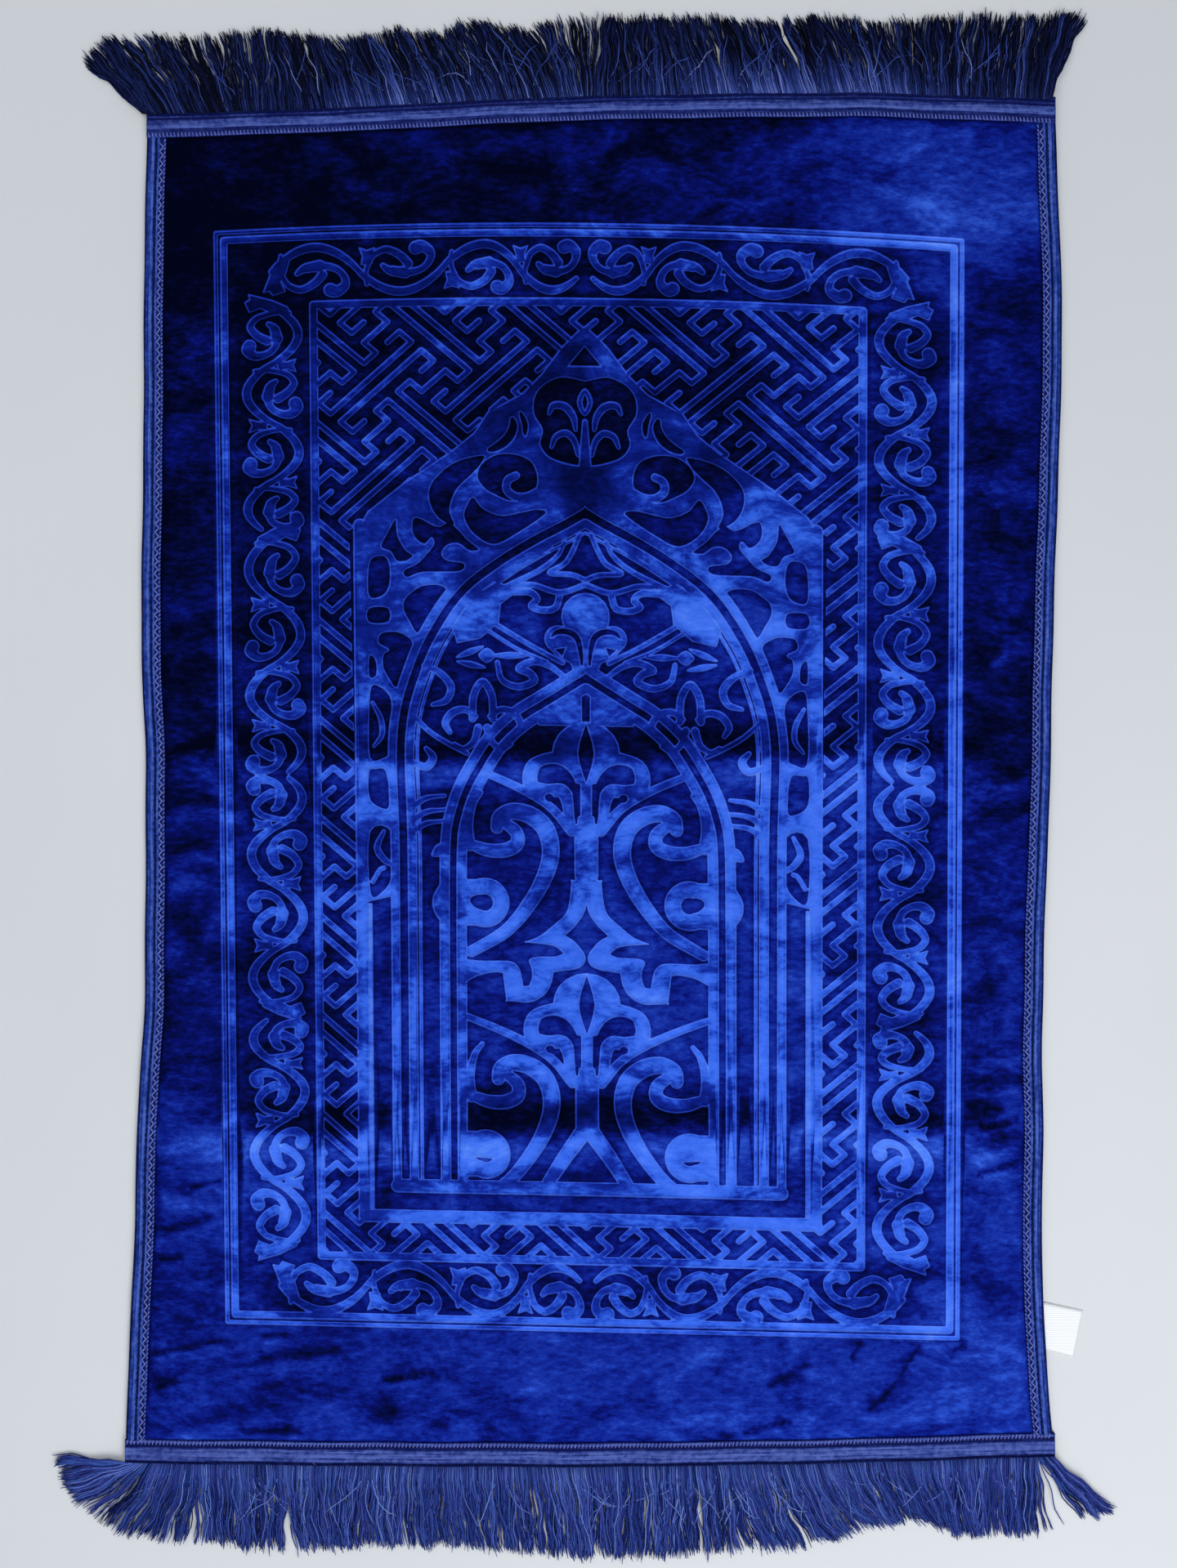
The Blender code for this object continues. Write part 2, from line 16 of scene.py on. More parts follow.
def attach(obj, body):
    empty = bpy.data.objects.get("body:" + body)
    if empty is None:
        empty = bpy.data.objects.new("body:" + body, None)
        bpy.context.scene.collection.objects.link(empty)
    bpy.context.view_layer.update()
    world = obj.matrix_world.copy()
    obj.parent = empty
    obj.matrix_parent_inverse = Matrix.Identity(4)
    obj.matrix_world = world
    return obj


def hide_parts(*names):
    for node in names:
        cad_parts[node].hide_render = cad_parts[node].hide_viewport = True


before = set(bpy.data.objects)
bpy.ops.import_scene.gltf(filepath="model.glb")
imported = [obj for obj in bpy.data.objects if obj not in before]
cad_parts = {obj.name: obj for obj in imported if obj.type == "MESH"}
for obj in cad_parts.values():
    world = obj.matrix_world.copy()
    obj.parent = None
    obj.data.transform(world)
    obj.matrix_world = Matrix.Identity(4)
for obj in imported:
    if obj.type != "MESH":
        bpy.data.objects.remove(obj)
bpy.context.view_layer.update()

MM = 0.001

# Outer edges of the side bindings as the cloth lies: (Y, X) pairs
LEFT_EDGE = (
    (-597, -408), (-570, -407), (-500, -405), (-444, -402), (-372, -399), (-300, -398), (-270, -396),
    (-200, -391), (-60, -390), (30, -390), (115, -394), (200, -393.5), (286, -392), (450, -391.5),
    (590, -388.5))
RIGHT_EDGE = (
    (-597, 405), (-572, 403.5), (-530, 399), (-487, 396.5), (-400, 393), (-315, 395), (-229, 393.5),
    (-100, 396.5), (-14, 400.5), (72, 402), (157, 404), (243, 407), (329, 410), (415, 411.5), (500, 408.5),
    (544, 406.5), (602, 404.5))
# Outer edges of the end tapes: (X, Y) pairs
TOP_EDGE = (
    (-392, 588), (-290, 591), (-189, 595), (-100, 600), (0, 604), (120, 606), (240, 607), (405, 601))
BOTTOM_EDGE = ((-408, -595.5), (-200, -598), (0, -599), (197, -596), (300, -593), (405, -589.5))
# Height of the waver of sewn tape and the length over which it comes and goes
WAVER, WAVER_RUN = 0.25, 17
# Where along the side bindings the rug's corners are read
CORNER_Y = 590
SIDE_TAPE_WIDTH = 17.2
END_TAPE_WIDTH = 23.5
# Rings of the cloth's edge under the tapes: how far the rim lies inside the tape's outer edge, how
# far the cloth runs past the tape before its pile begins, and over what width that rises
RIM_INSET, SEAM_MARGIN, PILE_SLOPE = 2.2, 0.6, 2.6
PILE_TOP = 6.0
PRESS_DEPTH = 2.2
HEM_LOW, HEM_HIGH = 1.3, 3.5
# Loops cut from the pattern: distance from the pressed edge, and the share of the pile standing there
PILE_EDGES = ((-0.7, 0.0), (0.25, 0.5), (0.95, 1.0))
# Cells of the pattern's grid, how far a loop may be straightened, and points spread over open cloth
GRID, STRAIGHTEN, SPREAD = 1.0, 0.12, 7.4
GRID_MARGIN = 10

# Soft creases left by folding: (Y, height, half width)
CREASES = ((22, 1.9, 16), (-303, 2.6, 20))
# Short slanting wrinkles in the margins: (X, Y, degrees, half length, half width, height)
WRINKLES = (
    (-350, -60, 14, 26, 9, 0.8), (-352, -82, 10, 30, 8, 0.6), (-350, -362, -12, 30, 8, 0.7),
    (-335, -560, 12, 60, 9, 0.8), (-180, -556, 18, 26, 8, 0.7), (-120, -558, 24, 24, 8, 0.6),
    (352, -240, 9, 34, 8, 0.7), (350, -262, 14, 30, 8, 0.8), (352, -286, 12, 34, 8, 0.9),
    (352, -318, 16, 30, 8, 0.8), (360, 120, 48, 26, 8, 0.8), (352, 0, 8, 30, 9, 0.9))
# Fine furrows where the cloth buckles, only painted and not in relief: painted shade along each and a
# painted highlight beside it. Points along each, then its half width
PAINTED_FURROWS = (
    (((288, -487), (277, -503), (268, -519), (257, -532), (243, -545)), 2.4),
    (((326, -487), (314, -497)), 2.2), (((235, -487), (227, -499)), 2.2), (((187, -507), (156, -525)), 3.5),
    (((167, -557), (119, -570)), 3.0), (((-349, -352), (-325, -346)), 2.5),
    (((-378, -389), (-335, -379)), 5.0), (((-376, -415), (-359, -413)), 3.0),
    (((-379, -497), (-346, -490), (-318, -485)), 2.6), (((-286, -482), (-268, -480)), 3.0),
    (((-288, -502), (-260, -497), (-225, -495)), 5.0), (((-378, -527), (-363, -518)), 3.4),
    (((-303, -564), (-258, -564)), 3.5), (((-180, -520), (-140, -514)), 3.0),
    (((340, -300), (376, -292)), 3.0), (((338, -340), (372, -330)), 2.6), (((-378, 26), (-330, 38)), 4.0))

# Broad patches of painted light and shade on the nap: middle, reach across and along, and how much lighter
# (above 0) or darker (below 0) they paint it
PAINTED_NAP_PATCHES = (
    (0, 310, 120, 90, -0.2), (330, 515, 130, 60, 0.45), (250, 380, 90, 70, 0.08),
    (-260, 120, 160, 130, -0.08), (-320, -330, 60, 60, 0.2), (0, -60, 170, 200, 0.03),
    (-300, 500, 160, 90, -0.12), (0, 150, 190, 75, 0.08), (140, 180, 60, 60, 0.06),
    (0, -190, 130, 90, 0.08), (355, 60, 55, 200, -0.19), (-355, 110, 50, 200, -0.07),
    (0, 24, 140, 40, -0.13), (0, -528, 420, 45, -0.05), (0, -300, 110, 50, -0.25), (0, -400, 250, 28, -0.1),
    (-262, -230, 60, 180, -0.09), (280, -240, 50, 180, -0.17), (0, -447, 300, 30, -0.18),
    (-225, -190, 22, 160, -0.08), (-362, -350, 40, 150, -0.06), (352, -340, 40, 130, -0.1),
    (-160, 160, 60, 100, 0.05), (150, 160, 50, 100, 0.04), (276, 300, 40, 130, -0.08),
    (345, 515, 60, 50, -0.04), (-120, 530, 330, 50, -0.05))

# Fringe as it lies: (X of the root, lean towards +X in degrees at the root and at the tip, length, paleness
# at the root, which is painted light)
TOP_FRINGE = (
    (-392, -46, -58, 67, 0.1), (-388, -40, -52, 73, 0.1), (-380, -32, -44, 80, 0.1),
    (-368, -26, -38, 78, 0.1), (-345, -22, -34, 75, 0.1), (-312, -16, -27, 70, 0.1),
    (-304, -8, -14, 69, 0.1), (-285, -4, -8, 69, 0.1), (-265, -6, -14, 70, 0.2), (-245, -12, -24, 68, 0.4),
    (-190, -14, -28, 63, 0.8), (-140, -14, -30, 70, 0.7), (-110, -16, -34, 66, 0.5),
    (-65, -13, -35, 76, 0.4), (-30, -12, -34, 66, 0.5), (-12, -10, -22, 70, 0.5), (2, 2, 4, 69, 0.3),
    (30, -2, -4, 67, 0.4), (80, -6, -16, 68, 0.6), (115, -7, -17, 70, 0.9), (130, -12, -23, 68, 1.0),
    (170, -12, -26, 66, 1.0), (225, -12, -24, 72, 1.0), (262, -8, -18, 64, 0.9), (290, -3, -6, 66, 0.5),
    (330, 2, 4, 71, 0.35), (378, 4, 11, 72, 0.3), (392, 8, 20, 76, 0.25), (401, 14, 28, 78, 0.2))
BOTTOM_FRINGE = (
    (-406, -98, -92, 62, 0.3), (-402, -84, -86, 62, 0.3), (-396, -62, -76, 66, 0.3),
    (-390, -40, -62, 66, 0.3), (-383, -20, -48, 70, 0.3), (-368, -10, -34, 71, 0.3),
    (-346, -3, -20, 69, 0.3), (-338, 2, 0, 66, 0.3), (-300, 0, 0, 75, 0.3), (-270, 3, 4, 73, 0.3),
    (-250, -8, 6, 72, 0.3), (-200, -8, 5, 71, 0.3), (-150, -8, 8, 69, 0.3), (-125, -2, 6, 70, 0.3),
    (-60, 4, 6, 76, 0.3), (-40, 12, 7, 79, 0.3), (60, 2, -2, 79, 0.3), (100, 7, 9, 76, 0.3),
    (150, 10, 30, 78, 0.3), (180, 12, 40, 75, 0.3), (215, 13, 45, 65, 0.3), (262, 8, 43, 57, 0.3),
    (283, 6, 32, 63, 0.3), (305, 4, 18, 67, 0.3), (330, 1, 5, 67, 0.3), (375, 1, 4, 69, 0.3),
    (389, 6, 9, 66, 0.3), (389.5, 34, 42, 64, 0.1), (396, 41, 45, 68, 0.1), (403, 46, 53, 71, 0.1))
# Partings in the fringe: (X, half gap, where along the yarn it opens and closes); past 1 it is open
# at the tips
TOP_PARTINGS = (
    (-308, 1.8, 0.4, 0.95), (-116, 1.6, 0.55, 1.5), (-66, 3.0, 0.7, 2.0), (117, 3.6, 0.3, 1.4),
    (278, 3.4, 0.8, 2.2))
BOTTOM_PARTINGS = (
    (-343, 4.0, 0.5, 1.9), (-316, 2.0, 0.35, 1.6), (-268, 8.5, 0.5, 2.0), (-54, 2.6, 0.12, 1.2),
    (45, 3.0, 0.2, 0.95), (91, 2.6, 0.25, 0.85))
YARNS_PER_END = 3600
# Half thickness of a yarn, coarser than real so that it shows, width of a strand of yarns that cling
# together, and the share of yarns that lie astray over the rest
YARN_HALF, STRAND, STRAY = 0.58, 1.8, 0.03
# Repeat of the stitches along an edge: seam, zigzag, edge thread, overcast and the thin ribs
SEAM_PITCH, ZIGZAG_TURN, EDGE_PITCH, OVERCAST_PITCH, RIB_PITCH = 5.2, 7.2, 3.6, 3.2, 1.9


# ---------------------------------------------------------------- small tools

def linear(code):
    """Linear colour of an sRGB hex code."""
    parts = [int(code[k:k + 2], 16) / 255 for k in (1, 3, 5)]
    return tuple(c / 12.92 if c <= 0.04045 else ((c + 0.055) / 1.055) ** 2.4 for c in parts) + (1.0,)


def read(table, t):
    """Value of a table of pairs at t, its corners eased; works on arrays."""
    a, b = np.array([q[0] for q in table], float), np.array([q[1] for q in table], float)
    return sum(np.interp(np.asarray(t, float) + k, a, b) for k in (-18, -9, 0, 9, 18)) / 5


def edge_at(table, t):
    """Place of a rug edge with the slight waver of sewn tape."""
    return read(table, t) + WAVER * np.sin(np.asarray(t, float) / WAVER_RUN)


def set_up(name, data):
    """Put a mesh, light or camera in the scene."""
    obj = bpy.data.objects.new(name, data)
    bpy.context.scene.collection.objects.link(obj)
    return obj


def piece(name, verts, faces, materials, marks=()):
    """A mesh in millimetres, in the rug's frame, riding on its body."""
    mesh = bpy.data.meshes.new(name)
    mesh.from_pydata((np.asarray(verts, float) * MM).tolist(), [], faces)
    for mark, values in dict(marks).items():
        mesh.attributes.new(mark, "FLOAT", "POINT").data.foreach_set("value",
            np.asarray(values, np.float32))
    for material in materials:
        mesh.materials.append(material)
    mesh.shade_smooth()
    obj = set_up(name, mesh)
    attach(obj, "root")
    return obj


def feed(tree, node, inputs):
    """Set a node's sockets to values, or link them to the outputs that feed them."""
    for socket, value in dict(inputs).items():
        if isinstance(value, bpy.types.NodeSocket):
            tree.links.new(value, node.inputs[socket])
        else:
            node.inputs[socket].default_value = value


def add(tree, kind, inputs=(), out=0, stops=(), **settings):
    """Add a node and give one of its outputs; stops are a colour ramp's (place, hex code) pairs."""
    node = tree.nodes.new("ShaderNode" + kind)
    for key, value in settings.items():
        setattr(node, key, value)
    for k, (place, code) in enumerate(stops):
        stop = node.color_ramp.elements[k] if k < 2 else node.color_ramp.elements.new(place)
        stop.position, stop.color = place, linear(code)
    feed(tree, node, inputs)
    return node.outputs[out]


# ---------------------------------------------------------------- embossed pattern, in mm

RUG_HALF = 322.0
PATTERN_TOP, PATTERN_FOOT = 482.0, -478.0
# Beyond this distance from a pressed edge nothing is measured
FAR = 9.0
# Lines of the outer frame: how far in from the pattern's edge, and half width
FRAME_LINES = ((1.6, 1.3), (8.5, 2.6))
FIELD = (-236.3, 236.3, -416.6, 413.8)
# Fret: step of its grid, half width of its lines, and its keys in steps of that grid
FRET, FRET_HALF = 8.3, 2.1
KEY_UP = ((2.35, 4), (2.35, 5.65), (0.7, 5.65), (0.7, -5.65), (2.35, -5.65), (2.35, -4))
KEY_ACROSS = (
    (4, 4), (4, 2.35), (5.65, 2.35), (5.65, 0.7), (-5.65, 0.7), (-5.65, 2.35), (-4, 2.35), (-4, 4))
FRET_TILT = math.radians(40.5)
FRET_AT = (70.5, 388.6)
SIDE_BAND = 197.5
# Foot of the side bands, and the middles of the vine borders across and along the rug
BASE = -381
SIDE_VINE, END_VINE = 272.5, 444
SPANDREL = (
    (207, 216), (190, 232), (159, 256), (116, 284), (96, 300), (84, 318), (54, 334), (37, 351), (20, 374),
    (6, 388))
OUTER_ARCH = (
    (-160.5, -352), (-160.5, -180), (-160.5, -60), (-161.5, 40), (-147, 97), (-128, 135), (-105, 165),
    (-73.5, 189), (-42, 208), (-17, 221), (0, 231))
INNER_ARCH = (
    (-117.2, -352), (-117.2, -220), (-117, -120), (-116, -55), (-111.3, -29), (-104, -9), (-93.5, 10),
    (-82, 28), (-71, 40.5), (-55, 54), (-36.3, 65.5), (-17.6, 77), (0, 88))
# How far down the rug each tier of the niche lies below the upper one
TIERS = (0.0, 218.0)
# The vine's waves down a side border, and from a corner to the middle of an end border
SIDE_WAVES = (
    (388.5, 338, 285, 236.5), (184, 126, 73, 24), (-382.5, -328, -273, -228), (-174, -121, -66, -17))
END_WAVES = (-235, -160, -86, -28)


def through(points, steps=8, closed=False):
    """Smooth curve through a short list of points."""
    p = [np.array(q, float) for q in points]
    p = [p[-1]] + p + p[:2] if closed else [2 * p[0] - p[1]] + p + [2 * p[-1] - p[-2]]
    out = []
    for a, b, c, d in zip(p, p[1:], p[2:], p[3:]):
        for k in range(steps):
            t = k / steps
            out.append(tuple(0.5 * (2 * b + (c - a) * t + (2 * a - 5 * b + 4 * c - d) * t * t
                + (3 * b - 3 * c + d - a) * t ** 3)))
    return out if closed else out + [tuple(p[-2])]


def oval(x, y, rx, ry, tilt=0.0, point=0.0, steps=20):
    """Closed oval; point draws its two ends out to a leaf."""
    ca, sa = math.cos(math.radians(tilt)), math.sin(math.radians(tilt))
    out = []
    for k in range(steps):
        a = 2 * math.pi * k / steps
        u, v = rx * math.cos(a), ry * math.sin(a) * (1 - point * abs(math.cos(a)) ** 1.5)
        out.append((x + u * ca - v * sa, y + u * sa + v * ca))
    return out


def box(x0, x1, y0, y1):
    """Closed rectangle."""
    return [(x0, y0), (x1, y0), (x1, y1), (x0, y1), (x0, y0)]


def mirror(points):
    return [(-q[0], q[1]) for q in points]


def sideways(points, dist):
    """Curve moved to its right by dist, kept on its own side of the rug's middle."""
    p = np.array(points, float)
    t = np.gradient(p, axis=0)
    t /= np.hypot(t[:, 0], t[:, 1])[:, None]
    return [tuple(q) for q in p + dist * np.stack([t[:, 1], -t[:, 0]], 1) if q[0] < 0.8]


def from_segment(x, y, a, b):
    """Distance of places from a segment, and where along it they lie, 0 to 1."""
    vx, vy = b[0] - a[0], b[1] - a[1]
    t = np.clip(((x - a[0]) * vx + (y - a[1]) * vy) / (vx * vx + vy * vy + 1e-9), 0, 1)
    return np.hypot(x - a[0] - t * vx, y - a[1] - t * vy), t


def outline_distance(X, Y, points):
    """Distance from a closed outline, negative inside it."""
    dist = np.full(X.shape, 1e9)
    inside = np.zeros(X.shape, bool)
    for (ax, ay), (bx, by) in zip(points, points[1:] + points[:1]):
        np.minimum(dist, from_segment(X, Y, (ax, ay), (bx, by))[0], out=dist)
        if ay != by:
            inside ^= ((ay > Y) != (by > Y)) & (X < (bx - ax) * (Y - ay) / (by - ay) + ax)
    return np.where(inside, -dist, dist)


class Press:
    """Distance on a grid from the pressed pattern's edge: negative on pressed cloth.

    What is drawn lands lower down the rug by fall."""

    def __init__(self, step):
        self.step = step
        self.fall = 0.0
        self.x = np.arange(-RUG_HALF - GRID_MARGIN, RUG_HALF + GRID_MARGIN, step)
        self.y = np.arange(PATTERN_FOOT - GRID_MARGIN, PATTERN_TOP + GRID_MARGIN, step)
        self.d = np.full((len(self.y), len(self.x)), FAR)

    def near(self, points, pad):
        """The part of the grid round some points, and the places of its cells."""
        p = np.array(points, float)
        i0, i1 = np.searchsorted(self.x, (p[:, 0].min() - pad, p[:, 0].max() + pad))
        j0, j1 = np.searchsorted(self.y, (p[:, 1].min() - pad, p[:, 1].max() + pad))
        return (slice(j0, j1), slice(i0, i1)), *np.meshgrid(self.x[i0:i1], self.y[j0:j1])

    def merge(self, part, dist, raised):
        if raised:
            np.maximum(self.d[part], -dist, out=self.d[part])
        else:
            np.minimum(self.d[part], dist, out=self.d[part])

    def line(self, points, half, raised=False):
        """Pressed (or raised) line; half is its half width, or a function of 0..1 along it."""
        width = half if callable(half) else (lambda t: half)
        n = len(points) - 1
        for k in range(n):
            start, end = width(k / n), width((k + 1) / n)
            part, X, Y = self.near(points[k:k + 2], max(start, end) + FAR)
            dist, t = from_segment(X, Y, points[k], points[k + 1])
            self.merge(part, dist - (start + (end - start) * t), raised)

    def area(self, points, raised=False):
        part, X, Y = self.near(points, FAR)
        self.merge(part, outline_distance(X, Y, list(points)), raised)

    def keep_inside(self, points, before):
        """Undo what was drawn outside an outline since before was copied."""
        part, X, Y = self.near(points, 1)
        before[part] = np.where(outline_distance(X, Y, points) < 0, self.d[part], before[part])
        self.d = before

    def draw(self, points, half=None, smooth=0, raised=False, both=True):
        """Line of a half width, or a filled area where none is given, on both sides of the middle.

        smooth is the number of steps laid between two points to make them a curve."""
        if smooth:
            points = through(points, smooth, closed=half is None)
        points = [(x, y - self.fall) for x, y in points]
        for side in (points, mirror(points))[:1 + both]:
            if half is None:
                self.area(side, raised)
            else:
                self.line(side, half, raised)


def swell(low, high, power=0.8):
    """Half width that grows from low at both ends to high in the middle."""
    return lambda t: low + (high - low) * max(0.0, math.sin(math.pi * t)) ** power


def taper(start, end):
    """Half width that runs evenly from start to end."""
    return lambda t: start + (end - start) * t


def press_fret(press):
    """Diagonal key fret in the field's corners, down its sides and along its foot."""
    ca, sa = math.cos(FRET_TILT) * FRET, math.sin(FRET_TILT) * FRET
    for m in range(-7, 8):
        for n in range(-9, 10):
            for upright in (0, 1):
                u0, v0 = 8 * (m + n + upright), 8 * (m - n)
                for s in (1, -1):
                    key = [(u0 + a * s, v0 + b) for a, b in KEY_UP]
                    if not upright:
                        key = [(u0 + a, v0 + b * s) for a, b in KEY_ACROSS]
                    press.line([(FRET_AT[0] + (u + v) * ca, FRET_AT[1] + (v - u) * sa) for u, v in key],
                        FRET_HALF)
    X, Y = np.meshgrid(press.x, press.y)
    x0, x1, y0, y1 = FIELD
    clear = [(-SIDE_BAND, BASE), (SIDE_BAND, BASE)] + list(SPANDREL) + mirror(SPANDREL)[::-1]
    field = outline_distance(X, Y, box(x0, x1, y0, y1)[:-1])
    press.d = np.minimum(np.maximum(np.maximum(press.d, field), -outline_distance(X, Y, clear)), FAR)


# One leaf of the vine in its wave's own axes: along the vine, and towards the bulge. A wave is drawn
# this far to each side of its middle, and its stem this high
HALF_WAVE, STEM_HIGH = 26, 21.4
LEAF_BAND = (
    (-20.3, 14.6), (-21, 4.7), (-19.2, -5.2), (-16, -13), (-9.5, -17.6), (-4, -15.6), (1.3, -10.4), (5, -4))
LEAF_LOBE = ((-4.5, 2.4), (4.4, 4), (13, 1), (18, -6.5), (18.5, -14.5), (13.5, -20), (9.5, -18.5))
LEAF_TIP = ((3, 4), (-6, 2), (-10.4, -2.6))
BUD = ((-20.5, -5), (-21.5, -12), (-18.5, -19.5), (-24.5, -17), (-30, -19.5), (-27.5, -12), (-28.5, -4))
FLARE = (
    (-17, 18), (-25, 15), (-31.5, 0), (-37.5, -22), (-33, -20.5), (-30.5, -25.5), (-21.5, -21.5),
    (-25, -11), (-21, -2))


def press_vine(press, place, waves, bulge, high):
    """A run of the border's vine: a waving stem with a curled leaf in each wave and buds between.

    place turns (along, across) into pattern coordinates; waves are the middles of the waves in
    the order of growth; the first bulges to bulge (1 or -1) and each next to the other side."""
    way = 1 if waves[-1] > waves[0] else -1
    for k, middle in enumerate(waves):
        near = [abs(waves[j + 1] - waves[j]) / 2 for j in (k - 1, k) if 0 <= j < len(waves) - 1]
        before, after = near[0], near[-1]
        side = bulge if k % 2 == 0 else -bulge
        size = min(1.0, (before + after) / (2 * HALF_WAVE))

        def at(q, reach=1.0):
            stretch = (before if q[0] < 0 else after) / HALF_WAVE
            return place(middle + way * q[0] * stretch, side * q[1] * high * reach)
        end = 0.72 if k == len(waves) - 1 else 1.0
        turn = np.linspace(-1, end, 17)
        stem = [at((HALF_WAVE * t, STEM_HIGH * max(0.0, math.cos(math.pi * t / 2)) ** 0.85)) for t in turn]
        press.line(stem, swell(2.3, 3.5) if end == 1.0
            else (lambda t: 2.3 + 1.2 * math.sin(3 * t) - 1.8 * max(0, t - 0.6)))
        band, lobe, tip = ([at((q[0] * size, q[1])) for q in through(part, 5)]
            for part in (LEAF_BAND, LEAF_LOBE, LEAF_TIP))
        press.line(band, lambda t: 1.5 + 2.1 * t)
        press.line(lobe, lambda t: 5.0 - 2.6 * math.sin(math.pi * min(1.0, 0.2 + 0.75 * t)) ** 2 + 0.5 * t)
        press.line(tip, taper(4.8, 2.0))
        wide = min(1.0, 31 / before)
        press.area([at((q[0] * wide, q[1]), 0.86 if k == 0 else 1.0) for q in (FLARE if k == 0 else BUD)])


def press_borders(press):
    """Double outer frame, single inner frame and the vine between them."""
    for inset, half in FRAME_LINES:
        press.line(box(-RUG_HALF + inset, RUG_HALF - inset, PATTERN_FOOT + inset, PATTERN_TOP - inset),
            half)
    press.line(box(*FIELD), 3.1)
    for s in (-1, 1):
        for waves, bulge in zip(SIDE_WAVES, (-1, 1, -1, 1)):
            press_vine(press, lambda u, v: (s * (SIDE_VINE + v), u), waves, bulge, 1.06)
        press_vine(press, lambda u, v: (-s * u, END_VINE + v), END_WAVES, 1, 0.94)
        press_vine(press, lambda u, v: (-s * u, -END_VINE + v), END_WAVES, -1, 0.98)


def press_arches(press):
    """Two pointed arches on their columns, the side bands and the base."""
    outer, inner = through(OUTER_ARCH), through(INNER_ARCH)
    for curve, shift, half in ((outer, -7.6, 3.4), (outer, 7.6, 3.6), (outer, 14.6, 0.9),
            (inner, -7.6, 4.0), (inner, 7.4, 4.0)):
        press.draw(sideways(curve, shift), half)
    press.draw([(-SIDE_BAND, BASE), (-SIDE_BAND, 221)], 4.8)
    press.draw([(-SIDE_BAND + 7.6, -374), (-SIDE_BAND + 7.6, -110)], 0.8)
    press.line([(-SIDE_BAND, BASE), (SIDE_BAND, BASE)], 5.2)
    press.line([(-168, -354.5), (168, -354.5)], 5.4)


def press_volutes(press):
    """Facing volutes that flank the niche's stem, their hooks and the ring beside the column."""
    press.draw(((-101, -150), (-70, -131.5), (-48.5, -106), (-35.5, -82), (-31, -62), (-35.5, -43),
        (-48.5, -31.5), (-64, -28), (-75.5, -33), (-78, -42)),
        lambda t: 3.6 + 3.8 * math.sin(math.pi * min(1, 0.15 + 0.62 * t)) ** 2, 6)
    press.draw(((-71, -38), (-61, -46.5), (-61, -56.5), (-71.5, -62), (-86, -62), (-99, -58)),
        swell(4.2, 5.8), 6)
    press.draw(((-102, -58), (-103, -40), (-99, -22), (-92, -12)), taper(4.4, 1.6), 8)
    press.draw([(0, -40), (0, -62), (0, -82)], 9.8, both=False)
    if press.fall:
        press.draw([(-3, -86), (-19, -108), (-34, -131)], taper(7, 5.2))
    turns = [math.radians(360 * k / 28) for k in range(29)]
    press.draw([(-89 + 14.4 * math.cos(a), -107.5 + 14.4 * math.sin(a)) for a in turns], 6.6)
    press.draw([(-109, -93), (-92, -93)], 5.0)
    press.draw([(-109, -122), (-92, -122)], 5.0)
    press.draw(oval(-93, -107, 10, 7, -12, 0.2), raised=True)


def press_palmette(press):
    """Lobed palmette with its lens, two curled leaf strokes and the cross line over it."""
    press.draw(oval(0, 23, 29, 27), both=False)
    press.draw(((-16, 20), (-34, 17), (-46, 11), (-49, 0), (-46, -10)), taper(5.0, 6.4), 6)
    press.draw(((-46, -8), (-34, -10), (-21, -10), (-15, -22), (-14, -40)), 5.4, 6)
    press.draw(((-104, 11), (-78, 1), (-52, -11), (-30, -25), (-13, -45)), taper(2.6, 3.6), 8)
    press.draw([(0, -2), (0, -42)], 4.5, both=False)
    press.draw(((-40, 4), (-37.5, 9), (-27, 10.5), (-17, 5), (-10, -9), (-8.6, -38)), swell(1.4, 3.5, 0.5),
        6, raised=True)
    press.draw(oval(0, 23, 26.5, 7.4, 90, 0.75), raised=True, both=False)
    press.draw(oval(-32, -16, 4.6, 4, -20), raised=True)


# Knot between the tiers: the stem's leg, its pointed leaf and the ribbon to the column, left half.
# A third number marks a sharp corner
KNOT = (
    (0, -86), (-12.5, -88, 1), (-14, -104), (-18, -117), (-29, -127), (-40, -136), (-52, -141, 1),
    (-36, -142.5), (-27, -144.5), (-19, -150.5, 1), (-27, -154), (-43, -154.5), (-50, -157), (-47.5, -165),
    (-47.5, -173), (-50, -179.5, 1), (-56, -180.5, 1), (-57.5, -171), (-60.5, -163), (-68.5, -158.5),
    (-94, -158.5), (-113, -156, 1), (-113, -180, 1), (-102.5, -174), (-94, -170), (-80, -167.2),
    (-73, -168, 1), (-71.5, -180), (-70, -192, 1), (-58, -193), (-48, -192.5), (-38, -187), (-32, -178),
    (-29.5, -166.5, 1), (-20, -165), (-11.5, -164), (-4, -160.5), (-1.5, -154.5), (-4, -148.5),
    (-11.5, -140), (-20, -135.3, 1), (-11, -127), (-3.5, -117), (0, -106, 1))


def cornered(points):
    """Closed curve that stays sharp where a point carries a third number."""
    return through([q[:2] for q in points for _ in range(len(q) - 1)], 4, closed=True)


def press_niche(press):
    """Two tiers of palmette and volutes inside the inner arch, a kite and ribbon between them."""
    before = press.d.copy()
    for fall in TIERS:
        press.fall = fall
        press_volutes(press)
        press_palmette(press)
    press.fall = 0.0
    press.draw(cornered(KNOT))
    press.draw(((-42, 53), (-41, 47), (-4, 47), (-4, 74), (-20, 66)))
    press.draw([(-102, -320), (-76, -322)], 7.5)
    inside = sideways(through(INNER_ARCH, 4), 5)
    press.keep_inside(inside + mirror(inside)[::-1], before)


